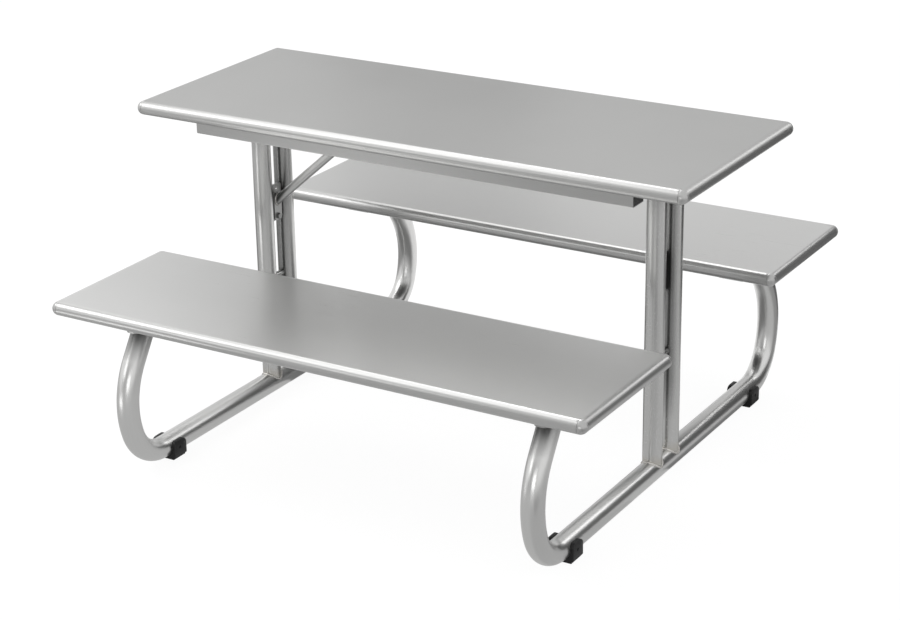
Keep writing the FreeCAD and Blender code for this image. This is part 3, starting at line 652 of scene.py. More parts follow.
class Recipe(NodeBuilder):
    """A Geometry Nodes tree with named inputs, run once on a helper object to give a plain mesh."""

    def __init__(self, name: str, inputs: dict[str, object]) -> None:
        """Start the tree and its sockets.

        Args:
            name: The tree's name.
            inputs: Input name to its default value.
        """
        super().__init__(bpy.data.node_groups.new(name, "GeometryNodeTree"))
        face = self.tree.interface
        face.new_socket("Geometry", in_out="INPUT", socket_type="NodeSocketGeometry")
        face.new_socket("Geometry", in_out="OUTPUT", socket_type="NodeSocketGeometry")
        self.identifiers = self.add_inputs(inputs)
        material = face.new_socket("Material", in_out="INPUT", socket_type="NodeSocketMaterial")
        self.identifiers["Material"] = material.identifier
        self.source = self.tree.nodes.new("NodeGroupInput").outputs
        self.sink = self.tree.nodes.new("NodeGroupOutput")

    def times(self, first: object, second: object) -> Socket:
        """The product of two values or sockets."""
        return self.math("MULTIPLY", first, second)

    def vector(self, x: object, y: object, z: object) -> Socket:
        """A vector made of three values or sockets."""
        return self.node("ShaderNodeCombineXYZ", {0: x, 1: y, 2: z}).outputs[0]

    def raised(self, geometry: Socket, height: Socket, share: float) -> Socket:
        """Geometry moved along Z by a share of a height."""
        shift = self.vector(0.0, 0.0, self.times(height, share))
        return self.node("GeometryNodeTransform", {"Geometry": geometry, "Translation": shift}).outputs[0]

    def scaled(self, geometry: Socket, scale: object) -> Socket:
        """Geometry scaled along each axis."""
        return self.node("GeometryNodeTransform", {"Geometry": geometry, "Scale": scale}).outputs[0]

    def ball(self, segments: int, rings: int, radius: object) -> Socket:
        """A ball about the origin."""
        return self.node("GeometryNodeMeshUVSphere", {"Segments": segments, "Rings": rings,
                                                      "Radius": radius}).outputs["Mesh"]

    def block(self, x: Socket, y: Socket, z: Socket) -> Socket:
        """A block about the origin."""
        return self.node("GeometryNodeMeshCube", {"Size": self.vector(x, y, z)}).outputs["Mesh"]

    def cylinder(self, sides: int, radius: Socket, depth: Socket) -> Socket:
        """A cylinder about the origin, upright."""
        return self.node("GeometryNodeMeshCylinder", {"Vertices": sides, "Radius": radius,
                                                      "Depth": depth}).outputs["Mesh"]

    def carved(self, operation: str, parts: Sequence[Socket], links: Links | None = None) -> Socket:
        """Solids cut from or with each other.

        Args:
            operation: What the node does.
            parts: The solids that go into its last input.
            links: Its first solid, where the operation has one.

        Returns:
            The result.
        """
        cut = self.node("GeometryNodeMeshBoolean", links, operation=operation, solver="EXACT")
        for part in parts:
            self.tree.links.new(part, cut.inputs[1])
        return cut.outputs[0]

    def merged(self, parts: Sequence[Socket]) -> Socket:
        """Several geometries as one.

        Args:
            parts: The geometries.

        Returns:
            The joined geometry.
        """
        join = self.tree.nodes.new("GeometryNodeJoinGeometry")
        for part in reversed(parts):
            self.tree.links.new(part, join.inputs[0])
        return join.outputs[0]

    def placed(self, points: Socket, thing: Socket, turn: Socket, **links: Socket) -> Socket:
        """A copy of a thing on each point."""
        return self.node("GeometryNodeInstanceOnPoints", {
            "Points": points, "Instance": thing, "Rotation": turn, **links}).outputs[0]

    def end_as_fastener(self, head: Socket, sides: int) -> None:
        """Give a head its plain shank, put one on each point and close the tree.

        Args:
            head: The head, its underside at the origin.
            sides: Sides of the shank.
        """
        source = self.source
        shank = self.cylinder(sides, source["Shank radius"], source["Shank length"])
        whole = self.merged([head, self.raised(shank, source["Shank length"], 0.5)])
        self.end(self.placed(source["Geometry"], whole, source["Turn"]))

    def end(self, geometry: Socket) -> None:
        """Realize the instances, set the material and close the tree.

        Args:
            geometry: What the tree has made.
        """
        real = self.node("GeometryNodeRealizeInstances", {0: geometry}).outputs[0]
        made = self.node("GeometryNodeSetMaterial", {0: real, "Material": self.source["Material"]}).outputs[0]
        self.tree.links.new(made, self.sink.inputs[0])

    def run(self, helper: bpy.types.Mesh, material: bpy.types.Material, **values: object) -> bpy.types.Mesh:
        """Run the tree on a helper mesh.

        Args:
            helper: Points or a line of edges, in place. It is removed.
            material: The material that the tree sets.
            values: The tree's inputs, with spaces written as underscores.

        Returns:
            The plain mesh that the tree makes.
        """
        thing = bpy.data.objects.new("helper", helper)
        bpy.context.scene.collection.objects.link(thing)
        modifier = thing.modifiers.new("recipe", "NODES")
        modifier.node_group = self.tree
        modifier[self.identifiers["Material"]] = material
        for key, value in values.items():
            modifier[self.identifiers[key.replace("_", " ")]] = value
        graph = bpy.context.evaluated_depsgraph_get()
        mesh = bpy.data.meshes.new_from_object(thing.evaluated_get(graph))
        thing.modifiers.remove(modifier)
        bpy.data.objects.remove(thing)
        bpy.data.meshes.remove(helper)
        return mesh


def helper_mesh(points: Iterable[Sequence[float]], looped: bool = False) -> bpy.types.Mesh:
    """A mesh of loose points, or of the edges round a closed line.

    Args:
        points: The points.
        looped: True to join them into a closed line.

    Returns:
        The mesh.
    """
    places = [tuple(point) for point in points]
    edges = [(i, (i + 1) % len(places)) for i in range(len(places))] if looped else []
    mesh = bpy.data.meshes.new("helper")
    mesh.from_pydata(places, edges, [])
    return mesh


def hex_bolt_recipe() -> Recipe:
    """Hex-head bolts, each with a chamfered head and a plain shank.

    Returns:
        A tree that puts one bolt on each point, its shank along the turned +Z.
    """
    recipe = Recipe("hex_bolts", {
        "Across flats": 0.013, "Head height": 0.0053, "Shank radius": 0.004, "Shank length": 0.02,
        "Turn": (0.0, 0.0, 0.0)})
    flats, height = recipe.source["Across flats"], recipe.source["Head height"]
    prism = recipe.cylinder(6, recipe.times(flats, 1.0 / sqrt(3.0)), height)
    wide_share, narrow_share, slope = 1.25, 0.46, 0.62
    wide = recipe.times(flats, wide_share)
    cone = recipe.node("GeometryNodeMeshCone", {
        "Vertices": 48, "Radius Top": wide, "Radius Bottom": recipe.times(flats, narrow_share),
        "Depth": recipe.times(wide, slope)}).outputs["Mesh"]
    head = recipe.carved("INTERSECT", (prism, recipe.raised(cone, height, -0.5)))
    recipe.end_as_fastener(recipe.raised(head, height, -0.5), sides=24)
    return recipe


def cross_screw_recipe() -> Recipe:
    """Pan-head screws with a cross recess.

    Returns:
        A tree that puts one screw on each point, its shank along the turned +Z.
    """
    recipe = Recipe("cross_screws", {
        "Head radius": 0.005, "Head height": 0.003, "Shank radius": 0.0025, "Shank length": 0.02,
        "Turn": (0.0, 0.0, 0.0)})
    radius, height = recipe.source["Head radius"], recipe.source["Head height"]
    reach_share, slit_share, depth_share, cover_share = 1.1, 0.22, 1.1, 4.0
    dome = recipe.scaled(recipe.ball(28, 14, 1.0), recipe.vector(radius, radius, height))
    reach, slit = recipe.times(radius, reach_share), recipe.times(radius, slit_share)
    deep, cover = recipe.times(height, depth_share), recipe.times(radius, cover_share)
    upper = recipe.raised(recipe.block(cover, cover, cover), cover, 0.5)
    cross = [recipe.raised(recipe.block(x, y, deep), height, -1.0) for x, y in ((reach, slit), (slit, reach))]
    recipe.end_as_fastener(recipe.carved("DIFFERENCE", (upper, *cross), {"Mesh 1": dome}), sides=12)
    return recipe


def weld_bead_recipe() -> Recipe:
    """A rippled weld bead along a line.

    Returns:
        A tree that lays overlapping ripples on a line of edges.
    """
    recipe = Recipe("weld_bead", {
        "Bead width": 0.0052, "Ripple pitch": 0.0017, "Unevenness": 0.12, "Seed": 3})
    source = recipe.source
    flatness, core_share = 0.62, 0.86
    curve = recipe.node("GeometryNodeMeshToCurve", {0: source["Geometry"]}).outputs[0]
    even = recipe.node("GeometryNodeResampleCurve", {"Curve": curve, "Length": source["Ripple pitch"]},
                       mode="LENGTH").outputs[0]
    half = recipe.times(source["Bead width"], 0.5)
    ripple = recipe.scaled(recipe.ball(10, 7, half), (1.0, 1.0, flatness))
    along = recipe.node("GeometryNodeInputTangent").outputs[0]
    turn = recipe.node("FunctionNodeAlignRotationToVector", {"Vector": along}, axis="Z").outputs[0]
    size = recipe.node("FunctionNodeRandomValue", {"Seed": source["Seed"]}, data_type="FLOAT")
    least, most = (socket for socket in size.inputs
                   if socket.name in ("Min", "Max") and socket.type == "VALUE")
    recipe.tree.links.new(recipe.math("SUBTRACT", 1.0, source["Unevenness"]), least)
    most.default_value = 1.0
    scale = next(socket for socket in size.outputs if socket.type == "VALUE")
    ripples = recipe.placed(even, ripple, turn, Scale=scale)
    profile = recipe.node("GeometryNodeCurvePrimitiveCircle", {
        "Resolution": 10, "Radius": recipe.times(half, core_share)}).outputs["Curve"]
    core = recipe.node("GeometryNodeCurveToMesh", {"Curve": even, "Profile Curve": profile}).outputs[0]
    recipe.end(recipe.merged([ripples, core]))
    return recipe


# --- Slabs ---------------------------------------------------------------------------------------


@dataclass
class RolledSlab:
    """A sheet tray with a half-round edge, rolled under and back into a lip.

    Attributes:
        node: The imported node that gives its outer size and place.
        finish: Its material.
        corner_radius: Its plan corner radius.
        least_radius: The smallest plan corner radius of an inset outline.
        sheet: The sheet's thickness.
        lip: How far the rolled edge comes back in underneath.
        lip_round: The rounding of the lip's edge.
        flat_holds: How far inside the half-round the flat's own lines lie.
        corner_steps: Points in one plan corner, less one.
        edge_steps: Steps in the half-round.
        seam_width: Width of the joint line where a corner piece meets the rolled edge.
        seam_depth: Its depth.
        seam_holds: How many widths away from it the straight edge's own lines lie.
    """

    node: str
    finish: bpy.types.Material
    corner_radius: float = 0.016
    least_radius: float = 0.0008
    sheet: float = 0.0012
    lip: float = 0.020
    lip_round: float = 0.0004
    flat_holds: tuple[float, float] = (0.006, 0.0015)
    corner_steps: int = 14
    edge_steps: int = 18
    seam_width: float = 0.0014
    seam_depth: float = 0.0010
    seam_holds: tuple[int, int, int] = (9, 4, 1)

    def outline(self, inset: float, height: float) -> Ring:
        """The rounded rectangle at one inset from the outer edge.

        Args:
            inset: How far it lies inside the slab's outer edge.
            height: Its height.

        Returns:
            Its points.
        """
        low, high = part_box(self.node)
        middle = [(low[i] + high[i]) / 2 for i in range(2)]
        half = [(high[i] - low[i]) / 2 - inset for i in range(2)]
        radius = max(self.corner_radius - inset, self.least_radius)
        points = []
        for quarter, (x_sign, y_sign) in enumerate(((1, 1), (-1, 1), (-1, -1), (1, -1))):
            core = Vector((middle[0] + x_sign * (half[0] - radius), middle[1] + y_sign * (half[1] - radius),
                           height))
            first, last = pi / 2 * quarter, pi / 2 * (quarter + 1)
            points += self.seam(core, first, radius, -1)
            for step in range(1, self.corner_steps):
                turn = first + (last - first) * step / self.corner_steps
                points.append(core + radius * Vector((cos(turn), sin(turn), 0.0)))
            points += self.seam(core, last, radius, 1)
        return points

    def seam(self, core: Vector, turn: float, radius: float, way: int) -> Ring:
        """The joint line at one end of a plan corner, in walking order round the slab.

        Args:
            core: The middle of the corner.
            turn: The direction from there to the joint.
            radius: The corner's radius at this inset.
            way: -1 where the corner starts and 1 where it ends.

        Returns:
            Its points: three on the straight edge, the bottom of the joint and the corner's own edge.
        """
        out = Vector((cos(turn), sin(turn), 0.0))
        along = Vector((-sin(turn), cos(turn), 0.0)) * way * self.seam_width
        edge = core + radius * out
        points = [edge + along * hold for hold in self.seam_holds]
        points += [edge - self.seam_depth * out + along / 2, edge]
        return points if way < 0 else list(reversed(points))

    def rings(self) -> list[Ring]:
        """The tray's rings, from the outer top over the edge and back inside to the inner top."""
        low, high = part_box(self.node)
        radius = (high[2] - low[2]) / 2
        centre = (high[2] + low[2]) / 2
        turns = [pi / 2 - pi * step / self.edge_steps for step in range(self.edge_steps + 1)]
        lip = radius + self.lip
        rings = [self.outline(radius + hold, high[2]) for hold in self.flat_holds]
        rings += [self.outline(radius * (1 - cos(turn)), centre + radius * sin(turn)) for turn in turns]
        rings += [self.outline(lip - self.lip_round, low[2]), self.outline(lip, low[2] + self.lip_round),
                  self.outline(lip, low[2] + self.sheet)]
        inner = radius - self.sheet
        rings += [self.outline(self.sheet + inner * (1 - cos(turn)), centre + inner * sin(turn))
                  for turn in reversed(turns)]
        return rings

    def build(self, name: str) -> None:
        """Make the tray and hand it over as a piece of this name."""
        hand_over(name, loft(self.rings()), self.finish, "slab_steel", self.node)


# --- Tube work -----------------------------------------------------------------------------------


class TubePiece:
    """A tube that is lofted out along its outer skin and back along its inner one."""

    radius: float
    wall: float

    def skin(self, radius: float) -> list[Ring]:
        """The tube's rings at one radius, from one end to the other."""
        raise NotImplementedError

    def build(self, name: str, node: str, finish: bpy.types.Material) -> None:
        """Make the tube and hand it over.

        Args:
            name: The piece's name.
            node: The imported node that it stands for.
            finish: Its material.
        """
        wall = self.skin(self.radius) + list(reversed(self.skin(self.radius - self.wall)))
        hand_over(name, loft(wall, looped=True), finish, "tube_steel", node)


@dataclass
class BentFrameTube(TubePiece):
    """The base tube of one frame: along the floor, and bent up and back at both ends.

    Attributes:
        end: -1 for the left frame and 1 for the right.
        offset: The frame's place along the table.
        radius: The tube's outer radius.
        wall: Its wall.
        axis_height: Height of its centre line on the floor run.
        bend_start: Where its first bend starts.
        lower_radius: The first bend's radius.
        lower_turn: The angle turned at the end of the first bend, in degrees.
        upper_radius: The second bend's radius.
        upper_turn: The angle turned at the end of the second bend, in degrees.
        top: Height of its cut ends.
        sides: Points round the tube.
        run_steps: Steps along half of the floor run.
        lower_steps: Steps along the first bend.
        upper_steps: Steps along the second bend.
        end_steps: Points round the line of a cut end.
    """

    end: int
    offset: float = FRAME_X
    radius: float = 0.02415
    wall: float = 0.002
    axis_height: float = 0.02915
    bend_start: float = 0.457
    lower_radius: float = 0.099
    lower_turn: float = 70.0
    upper_radius: float = 0.186
    upper_turn: float = 123.0
    top: float = 0.324
    sides: int = 56
    run_steps: int = 12
    lower_steps: int = 30
    upper_steps: int = 14
    end_steps: int = 72

    def centre_line(self) -> list[Point]:
        """Stations of the rear half as reach, height and turned angle in radians."""
        lower = radians(self.lower_turn)
        upper = radians(self.upper_turn)
        stations = [(self.bend_start * i / self.run_steps, self.axis_height, 0.0)
                    for i in range(self.run_steps)]
        for i in range(self.lower_steps + 1):
            turn = lower * i / self.lower_steps
            stations.append((self.bend_start + self.lower_radius * sin(turn),
                             self.axis_height + self.lower_radius * (1 - cos(turn)), turn))
        join = stations[-1]
        for i in range(1, self.upper_steps + 1):
            turn = lower + (upper - lower) * i / self.upper_steps
            stations.append((join[0] + self.upper_radius * (sin(turn) - sin(lower)),
                             join[1] + self.upper_radius * (cos(lower) - cos(turn)), turn))
        return stations

    def top_reach(self) -> float:
        """How far from the table's middle the centre line meets the cut end."""
        reach, height, turn = self.centre_line()[-1]
        return reach + (self.top - height) / tan(turn)

    def half_rings(self, side: int, radius: float) -> list[Ring]:
        """Rings from the middle of the floor run to one cut end.

        Args:
            side: -1 for the front half and 1 for the rear.
            radius: The rings' radius.

        Returns:
            The rings.
        """
        x = self.end * self.offset
        rings = []
        for reach, height, turn in self.centre_line():
            ring = []
            for i in range(self.sides):
                around = 2 * pi * i / self.sides
                out = radius * cos(around)
                ring.append(Vector((x + radius * sin(around), side * (reach + out * sin(turn)),
                                    height - out * cos(turn))))
            rings.append(ring)
        turn = radians(self.upper_turn)
        run = Vector((0.0, side * cos(turn), sin(turn)))
        rings.append([point + run * ((self.top - point.z) / run.z) for point in rings[-1]])
        return rings

    def skin(self, radius: float) -> list[Ring]:
        """Rings from the front cut end to the rear one."""
        return list(reversed(self.half_rings(-1, radius))) + self.half_rings(1, radius)[1:]

    def end_line(self, side: int) -> Ring:
        """The line where a cut end meets its seat plate.

        Args:
            side: -1 for the front and 1 for the rear.

        Returns:
            The line's points.
        """
        long_radius = self.radius / sin(radians(self.upper_turn))
        middle = self.top_reach()
        turns = [2 * pi * i / self.end_steps for i in range(self.end_steps)]
        return [Vector((self.end * self.offset + self.radius * cos(turn),
                        side * (middle + long_radius * sin(turn)), self.top - BEAD_DROP)) for turn in turns]


@dataclass
class Post(TubePiece):
    """A round post, coped at its foot over the base tube.

    Attributes:
        end: -1 for the left frame and 1 for the right.
        side: -1 for the front post and 1 for the rear.
        base: The base tube it stands on.
        offset_y: Its place across the table.
        radius: Its outer radius.
        wall: Its wall.
        top: Height of its top.
        sides: Points round the post.
        shares: Where its rings lie, from 0 on the coped foot to 1 at the top.
    """

    end: int
    side: int
    base: BentFrameTube
    offset_y: float = 0.040
    radius: float = 0.0212
    wall: float = 0.002
    top: float = 0.671
    sides: int = 64
    shares: tuple[float, ...] = (0.0, 0.02, 0.1, 0.3, 0.5, 0.7, 0.9, 1.0)

    def ring(self, radius: float, share: float) -> Ring:
        """One ring of the post.

        Args:
            radius: The ring's radius.
            share: 0 on the coped foot and 1 at the top.

        Returns:
            Its points.
        """
        points = []
        for i in range(self.sides):
            around = 2 * pi * i / self.sides
            across = radius * cos(around)
            foot = self.base.axis_height + sqrt(self.base.radius ** 2 - across ** 2)
            points.append(Vector((self.end * self.base.offset + across,
                                  self.side * self.offset_y + radius * sin(around),
                                  foot + (self.top - foot) * share)))
        return points

    def skin(self, radius: float) -> list[Ring]:
        """Rings from the coped foot to the top."""
        return [self.ring(radius, share) for share in self.shares]

    def foot_line(self) -> Ring:
        """The line where the post meets the base tube."""
        return self.ring(self.radius + BEAD_OUT, 0.0)

    def top_line(self) -> Ring:
        """The line where the post meets its top plate."""
        height = self.top - BEAD_DROP
        return [Vector((point.x, point.y, height)) for point in self.ring(self.radius + BEAD_OUT, 1.0)]


@dataclass
class Brace(TubePiece):
    """The single diagonal tube from the left tie plate up to the table.

    Attributes:
        start: Its centre line's lower end, on the face of its tab.
        angle: Its slope in degrees.
        top: Height of its upper end.
        radius: Its outer radius.
        wall: Its wall.
        sides: Points round the tube.
    """

    start: Vector = field(default_factory=lambda: Vector((-0.481, 0.0, 0.465)))
    angle: float = 41.0
    top: float = 0.706
    radius: float = 0.010
    wall: float = 0.002
    sides: int = 40

    def skin(self, radius: float, inset: float = 0.0) -> list[Ring]:
        """The rings at the two cut ends.

        Args:
            radius: The rings' radius.
            inset: How far the rings lie back from the two faces.

        Returns:
            The lower ring, cut upright, and the upper ring, cut level.
        """
        slope = radians(self.angle)
        run = Vector((cos(slope), 0.0, sin(slope)))
        up = Vector((-sin(slope), 0.0, cos(slope)))
        lower, upper = [], []
        for i in range(self.sides):
            around = 2 * pi * i / self.sides
            point = self.start + Vector((0.0, radius * cos(around), 0.0)) + up * (radius * sin(around))
            lower.append(point + run * ((self.start.x + inset - point.x) / run.x))
            upper.append(point + run * ((self.top - inset - point.z) / run.z))
        return [lower, upper]


# --- Glides --------------------------------------------------------------------------------------


@dataclass
class Glide:
    """A moulded saddle with two wings and a flat sole, under the tube's first bend.

    Attributes:
        base: The base tube that it fits.
        side: -1 for the front and 1 for the rear.
        past_bend: From the bend's start to the glide's middle.
        length: Its length along the tube.
        wall: Its wing thickness.
        wing_rise: Its wing top above the tube's centre line.
        wing_round: The rounding of that top.
        wing_limit: How far short of its top a wing's inner face stops, in radians round the tube.
        wing_sine: The largest sine of the angle that a wing reaches round the tube.
        tip: The least width of a wing's top.
        sole: Height of its shoulder over the floor.
        sole_inset: How far its sole lies inside its body.
        sole_round: The rounding of its sole.
        shoulder: The chamfer above the shoulder, as its width, its upper height and its lower height.
        step_round: The rounding of the step down to the sole, across and down.
        corner: The radius of its wings' upper corners.
        clearance: The play between it and the tube.
        saddle_steps: Points across half of the saddle.
        end_stations: How far the outline is drawn in near an end, by the distance from that end.
        middle_shares: Where its other stations lie along its length.
    """

    base: BentFrameTube
    side: int
    past_bend: float = -0.025
    length: float = 0.042
    wall: float = 0.007
    wing_rise: float = 0.014
    wing_round: float = 0.0016
    wing_limit: float = 0.03
    wing_sine: float = 0.98
    tip: float = 0.0010
    sole: float = 0.005
    sole_inset: float = 0.005
    sole_round: float = 0.0009
    shoulder: Point = (0.0012, 0.003, 0.0006)
    step_round: tuple[float, float] = (0.0008, 0.0012)
    corner: float = 0.012
    clearance: float = 0.00015
    saddle_steps: int = 14
    end_stations: tuple[tuple[float, float], ...] = (
        (0.0, 0.0012), (0.0006, 0.0004), (0.0014, 0.0), (0.0026, 0.0), (0.0042, 0.0), (0.007, 0.0),
        (0.010, 0.0))
    middle_shares: Point = (0.33, 0.5, 0.67)

    def saddle_height(self, along: float, turn: float) -> tuple[float, float]:
        """A point of the tube's skin at one station.

        Args:
            along: The station's distance past the bend's start.
            turn: The angle round the tube, from its lowest line.

        Returns:
            The point's place across the tube and its height.
        """
        radius = self.base.radius + self.clearance
        across = radius * sin(turn)
        if along <= 0:
            return across, self.base.axis_height - radius * cos(turn)
        reach = self.base.lower_radius + radius * cos(turn)
        return across, self.base.axis_height + self.base.lower_radius - sqrt(reach ** 2 - along ** 2)

    def section(self, step: float, shrink: float) -> Ring:
        """The glide's closed outline at one station.

        Args:
            step: The station's distance from the glide's inner end.
            shrink: How far the outline is drawn in, for the rounded ends.

        Returns:
            Its points.
        """
        along = self.past_bend - self.length / 2 + step
        y = self.base.bend_start + along
        half = self.base.radius + self.wall - shrink
        to_end = max(self.corner - min(step, self.length - step), 0.0)
        drop = self.corner - sqrt(self.corner ** 2 - to_end ** 2)
        top = self.base.axis_height + self.wing_rise - shrink - drop
        foot = half - self.sole_inset
        chamfer, upper, lower = self.shoulder
        out, down = self.step_round
        outer = [(half, top - self.wing_round), (half, self.sole + upper),
                 (half - chamfer, self.sole + lower), (foot + out, self.sole), (foot, self.sole - down),
                 (foot, self.sole_round + shrink), (foot - self.sole_round, shrink)]
        rise = self.wing_rise - shrink - drop
        limit = pi / 2 + asin(min(rise / self.base.radius, self.wing_sine)) - self.wing_limit
        count = self.saddle_steps
        inner = [self.saddle_height(along, limit * (1 - i / count)) for i in range(2 * count + 1)]
        inner = [(across, min(height, top)) for across, height in inner]
        tip = [(inner[0][0] + self.tip, top), (half - self.wing_round, top)]
        mirrored = [(-across, height) for across, height in reversed(tip + outer)]
        outline = tip + outer + mirrored + list(reversed(inner))
        x = self.base.end * self.base.offset
        return [Vector((x + across, self.side * y, height)) for across, height in outline]

    def build(self, name: str, node: str, finish: bpy.types.Material) -> None:
        """Make the glide and hand it over.

        Args:
            name: The piece's name.
            node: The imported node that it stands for.
            finish: Its material.
        """
        stations = [*self.end_stations, *((self.length * share, 0.0) for share in self.middle_shares)]
        stations += [(self.length - step, shrink) for step, shrink in reversed(self.end_stations)]
        rings = [self.section(step, shrink) for step, shrink in stations]
        hand_over(name, loft(rings), finish, "glide_plastic", node, crease=50.0)


# --- Fasteners and welds -------------------------------------------------------------------------


@dataclass(frozen=True)
class FastenerRow:
    """One group of equal fasteners.

    Attributes:
        piece: The piece's name.
        node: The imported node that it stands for.
        recipe: The tree that makes it.
        length: Length of the shanks.
        points: Where the heads' undersides lie.
        turn: How the shanks are turned from +Z, as three angles.
    """

    piece: str
    node: str
    recipe: Recipe
    length: float
    points: Sequence[Point]
    turn: Point = (0.0, 0.0, 0.0)

    def build(self, finish: bpy.types.Material) -> None:
        """Make the group in a finish and hand it over."""
        mesh = self.recipe.run(helper_mesh(self.points), finish, Shank_length=self.length, Turn=self.turn)
        hand_over(self.piece, mesh, finish, "fastener_steel", self.node, crease=28.0)


@dataclass
class Fasteners:
    """Every bolt and screw on the table, by the faces that their heads lie on.

    Attributes:
        finish: Their material.
        crossbar_pitch: Half the distance between two bolts side by side in a crossbar.
        rail_bolt: A rail bolt's distance from the table's middle, and its height.
        plate_bolt: The same for a post plate's bolt.
        seat_bolt_height: Height of the seat plates' bolts.
        seat_bolt_steps: How far they lie from their plate's inner edge.
        brace_bolt: Where the brace bolt lies.
        rail_screw: Pitch, distance from the table's middle and height of the rails' screws.
        bearer_screw: The bearer screws' half distance along the table, pitch across it and height.
        seat_middle: From the table's middle to a seat's.
        foot_screw: How far the foot's screws lie inside the foot's ends, and their height.
    """

    finish: bpy.types.Material
    crossbar_pitch: float = 0.016
    rail_bolt: tuple[float, float] = (0.190, 0.6734)
    plate_bolt: tuple[float, float] = (0.071, 0.6694)
    seat_bolt_height: float = 0.324
    seat_bolt_steps: tuple[float, float] = (0.020, 0.074)
    brace_bolt: Point = (-0.481, 0.0, 0.426)
    rail_screw: Point = (0.220, 0.192, 0.708)
    bearer_screw: Point = (0.044, 0.110, 0.365)
    seat_middle: float = 0.433
    foot_screw: tuple[float, float] = (0.005, 0.706)

    def corners(self, x_steps: Sequence[float], y_places: Sequence[float], height: float) -> list[Point]:
        """Points at both frames and both sides.

        Args:
            x_steps: Distances from a frame's middle, along the table.
            y_places: Distances from the table's middle, across it.
            height: Their height.

        Returns:
            The points.
        """
        return [(end * FRAME_X + step, side * y, height)
                for end in ENDS.values() for side in SIDES.values() for y in y_places for step in x_steps]

    def seat_bolts(self) -> list[Point]:
        """Where the seat plates' bolts lie."""
        inner_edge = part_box("rear_left_seat_plate")[0][1]
        places = [inner_edge + step for step in self.seat_bolt_steps]
        return self.corners((0.0,), places, self.seat_bolt_height)

    def rail_screws(self) -> list[Point]:
        """Where the screws through the rails' upper flanges lie."""
        pitch, y, height = self.rail_screw
        return [(i * pitch, side * y, height) for side in SIDES.values() for i in range(-2, 3)]

    def bearer_screws(self) -> list[Point]:
        """Where the screws through the bearers' flanges lie."""
        edge, pitch, height = self.bearer_screw
        return [(end * FRAME_X + way * edge, side * self.seat_middle + step * pitch, height)
                for end in ENDS.values() for side in SIDES.values() for way in (-1, 1) for step in (-1, 0, 1)]

    def foot_screws(self) -> list[Point]:
        """Where the screws through the brace's foot lie."""
        low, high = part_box("brace_foot_screws")
        inset, height = self.foot_screw
        return [(low[0] + inset, 0.0, height), (high[0] - inset, 0.0, height)]

    def build(self) -> None:
        """Make every group of fasteners and hand it over."""
        bolts = hex_bolt_recipe()
        screws = cross_screw_recipe()
        pair = (-self.crossbar_pitch, self.crossbar_pitch)
        (rail_y, rail_z), (plate_y, plate_z) = self.rail_bolt, self.plate_bolt
        for row in (
            FastenerRow("rail_hex_bolts", "rail_bolts", bolts, 0.0141, self.corners(pair, (rail_y,), rail_z)),
            FastenerRow("post_plate_hex_bolts", "post_plate_bolts", bolts, 0.0181,
                        self.corners(pair, (plate_y,), plate_z)),
            FastenerRow("seat_plate_hex_bolts", "seat_plate_bolts", bolts, 0.0191, self.seat_bolts()),
            FastenerRow("brace_hex_bolt", "brace_bolt", bolts, 0.0165, [self.brace_bolt],
                        turn=(0.0, -pi / 2, 0.0)),
            FastenerRow("rail_cross_screws", "table_rail_screws", screws, 0.0192, self.rail_screws()),
            FastenerRow("bearer_cross_screws", "seat_bearer_screws", screws, 0.0202, self.bearer_screws()),
            FastenerRow("foot_cross_screws", "brace_foot_screws", screws, 0.0212, self.foot_screws()),
        ):
            row.build(self.finish)


@dataclass
class Welds:
    """Every weld bead.

    Attributes:
        finish: Their material.
        foot_width: Width of the beads at the posts' feet.
        brace_width: Width of the beads on the brace.
        width: Width of the others.
        brace_out: How far a bead's line lies outside the brace's skin.
        brace_inset: How far it lies back from the brace's cut ends.
    """

    finish: bpy.types.Material
    foot_width: float = 0.0056
    brace_width: float = 0.0036
    width: float = 0.0046
    brace_out: float = 0.0004
    brace_inset: float = 0.0008

    def build(self, tubes: Sequence[BentFrameTube], posts: Sequence[Post], brace: Brace) -> None:
        """Lay the beads along the seams and hand them over.

        Args:
            tubes: The base tubes.
            posts: The posts.
            brace: The brace.
        """
        bead = weld_bead_recipe()
        seams: dict[str, tuple[float, list[Ring]]] = {
            "post_foot": (self.foot_width, [post.foot_line() for post in posts]),
            "post_top": (self.width, [post.top_line() for post in posts]),
            "seat_plate": (self.width, [tube.end_line(side) for tube in tubes for side in SIDES.values()]),
            "brace": (self.brace_width, brace.skin(brace.radius + self.brace_out, self.brace_inset)),
        }
        for place, (width, lines) in seams.items():
            meshes = [bead.run(helper_mesh(line, looped=True), self.finish, Bead_width=width, Seed=i)
                      for i, line in enumerate(lines)]
            hand_over(f"{place}_beads", joined(meshes), self.finish, "weld_steel", f"{place}_welds",
                      crease=80.0)


# --- Whole object --------------------------------------------------------------------------------


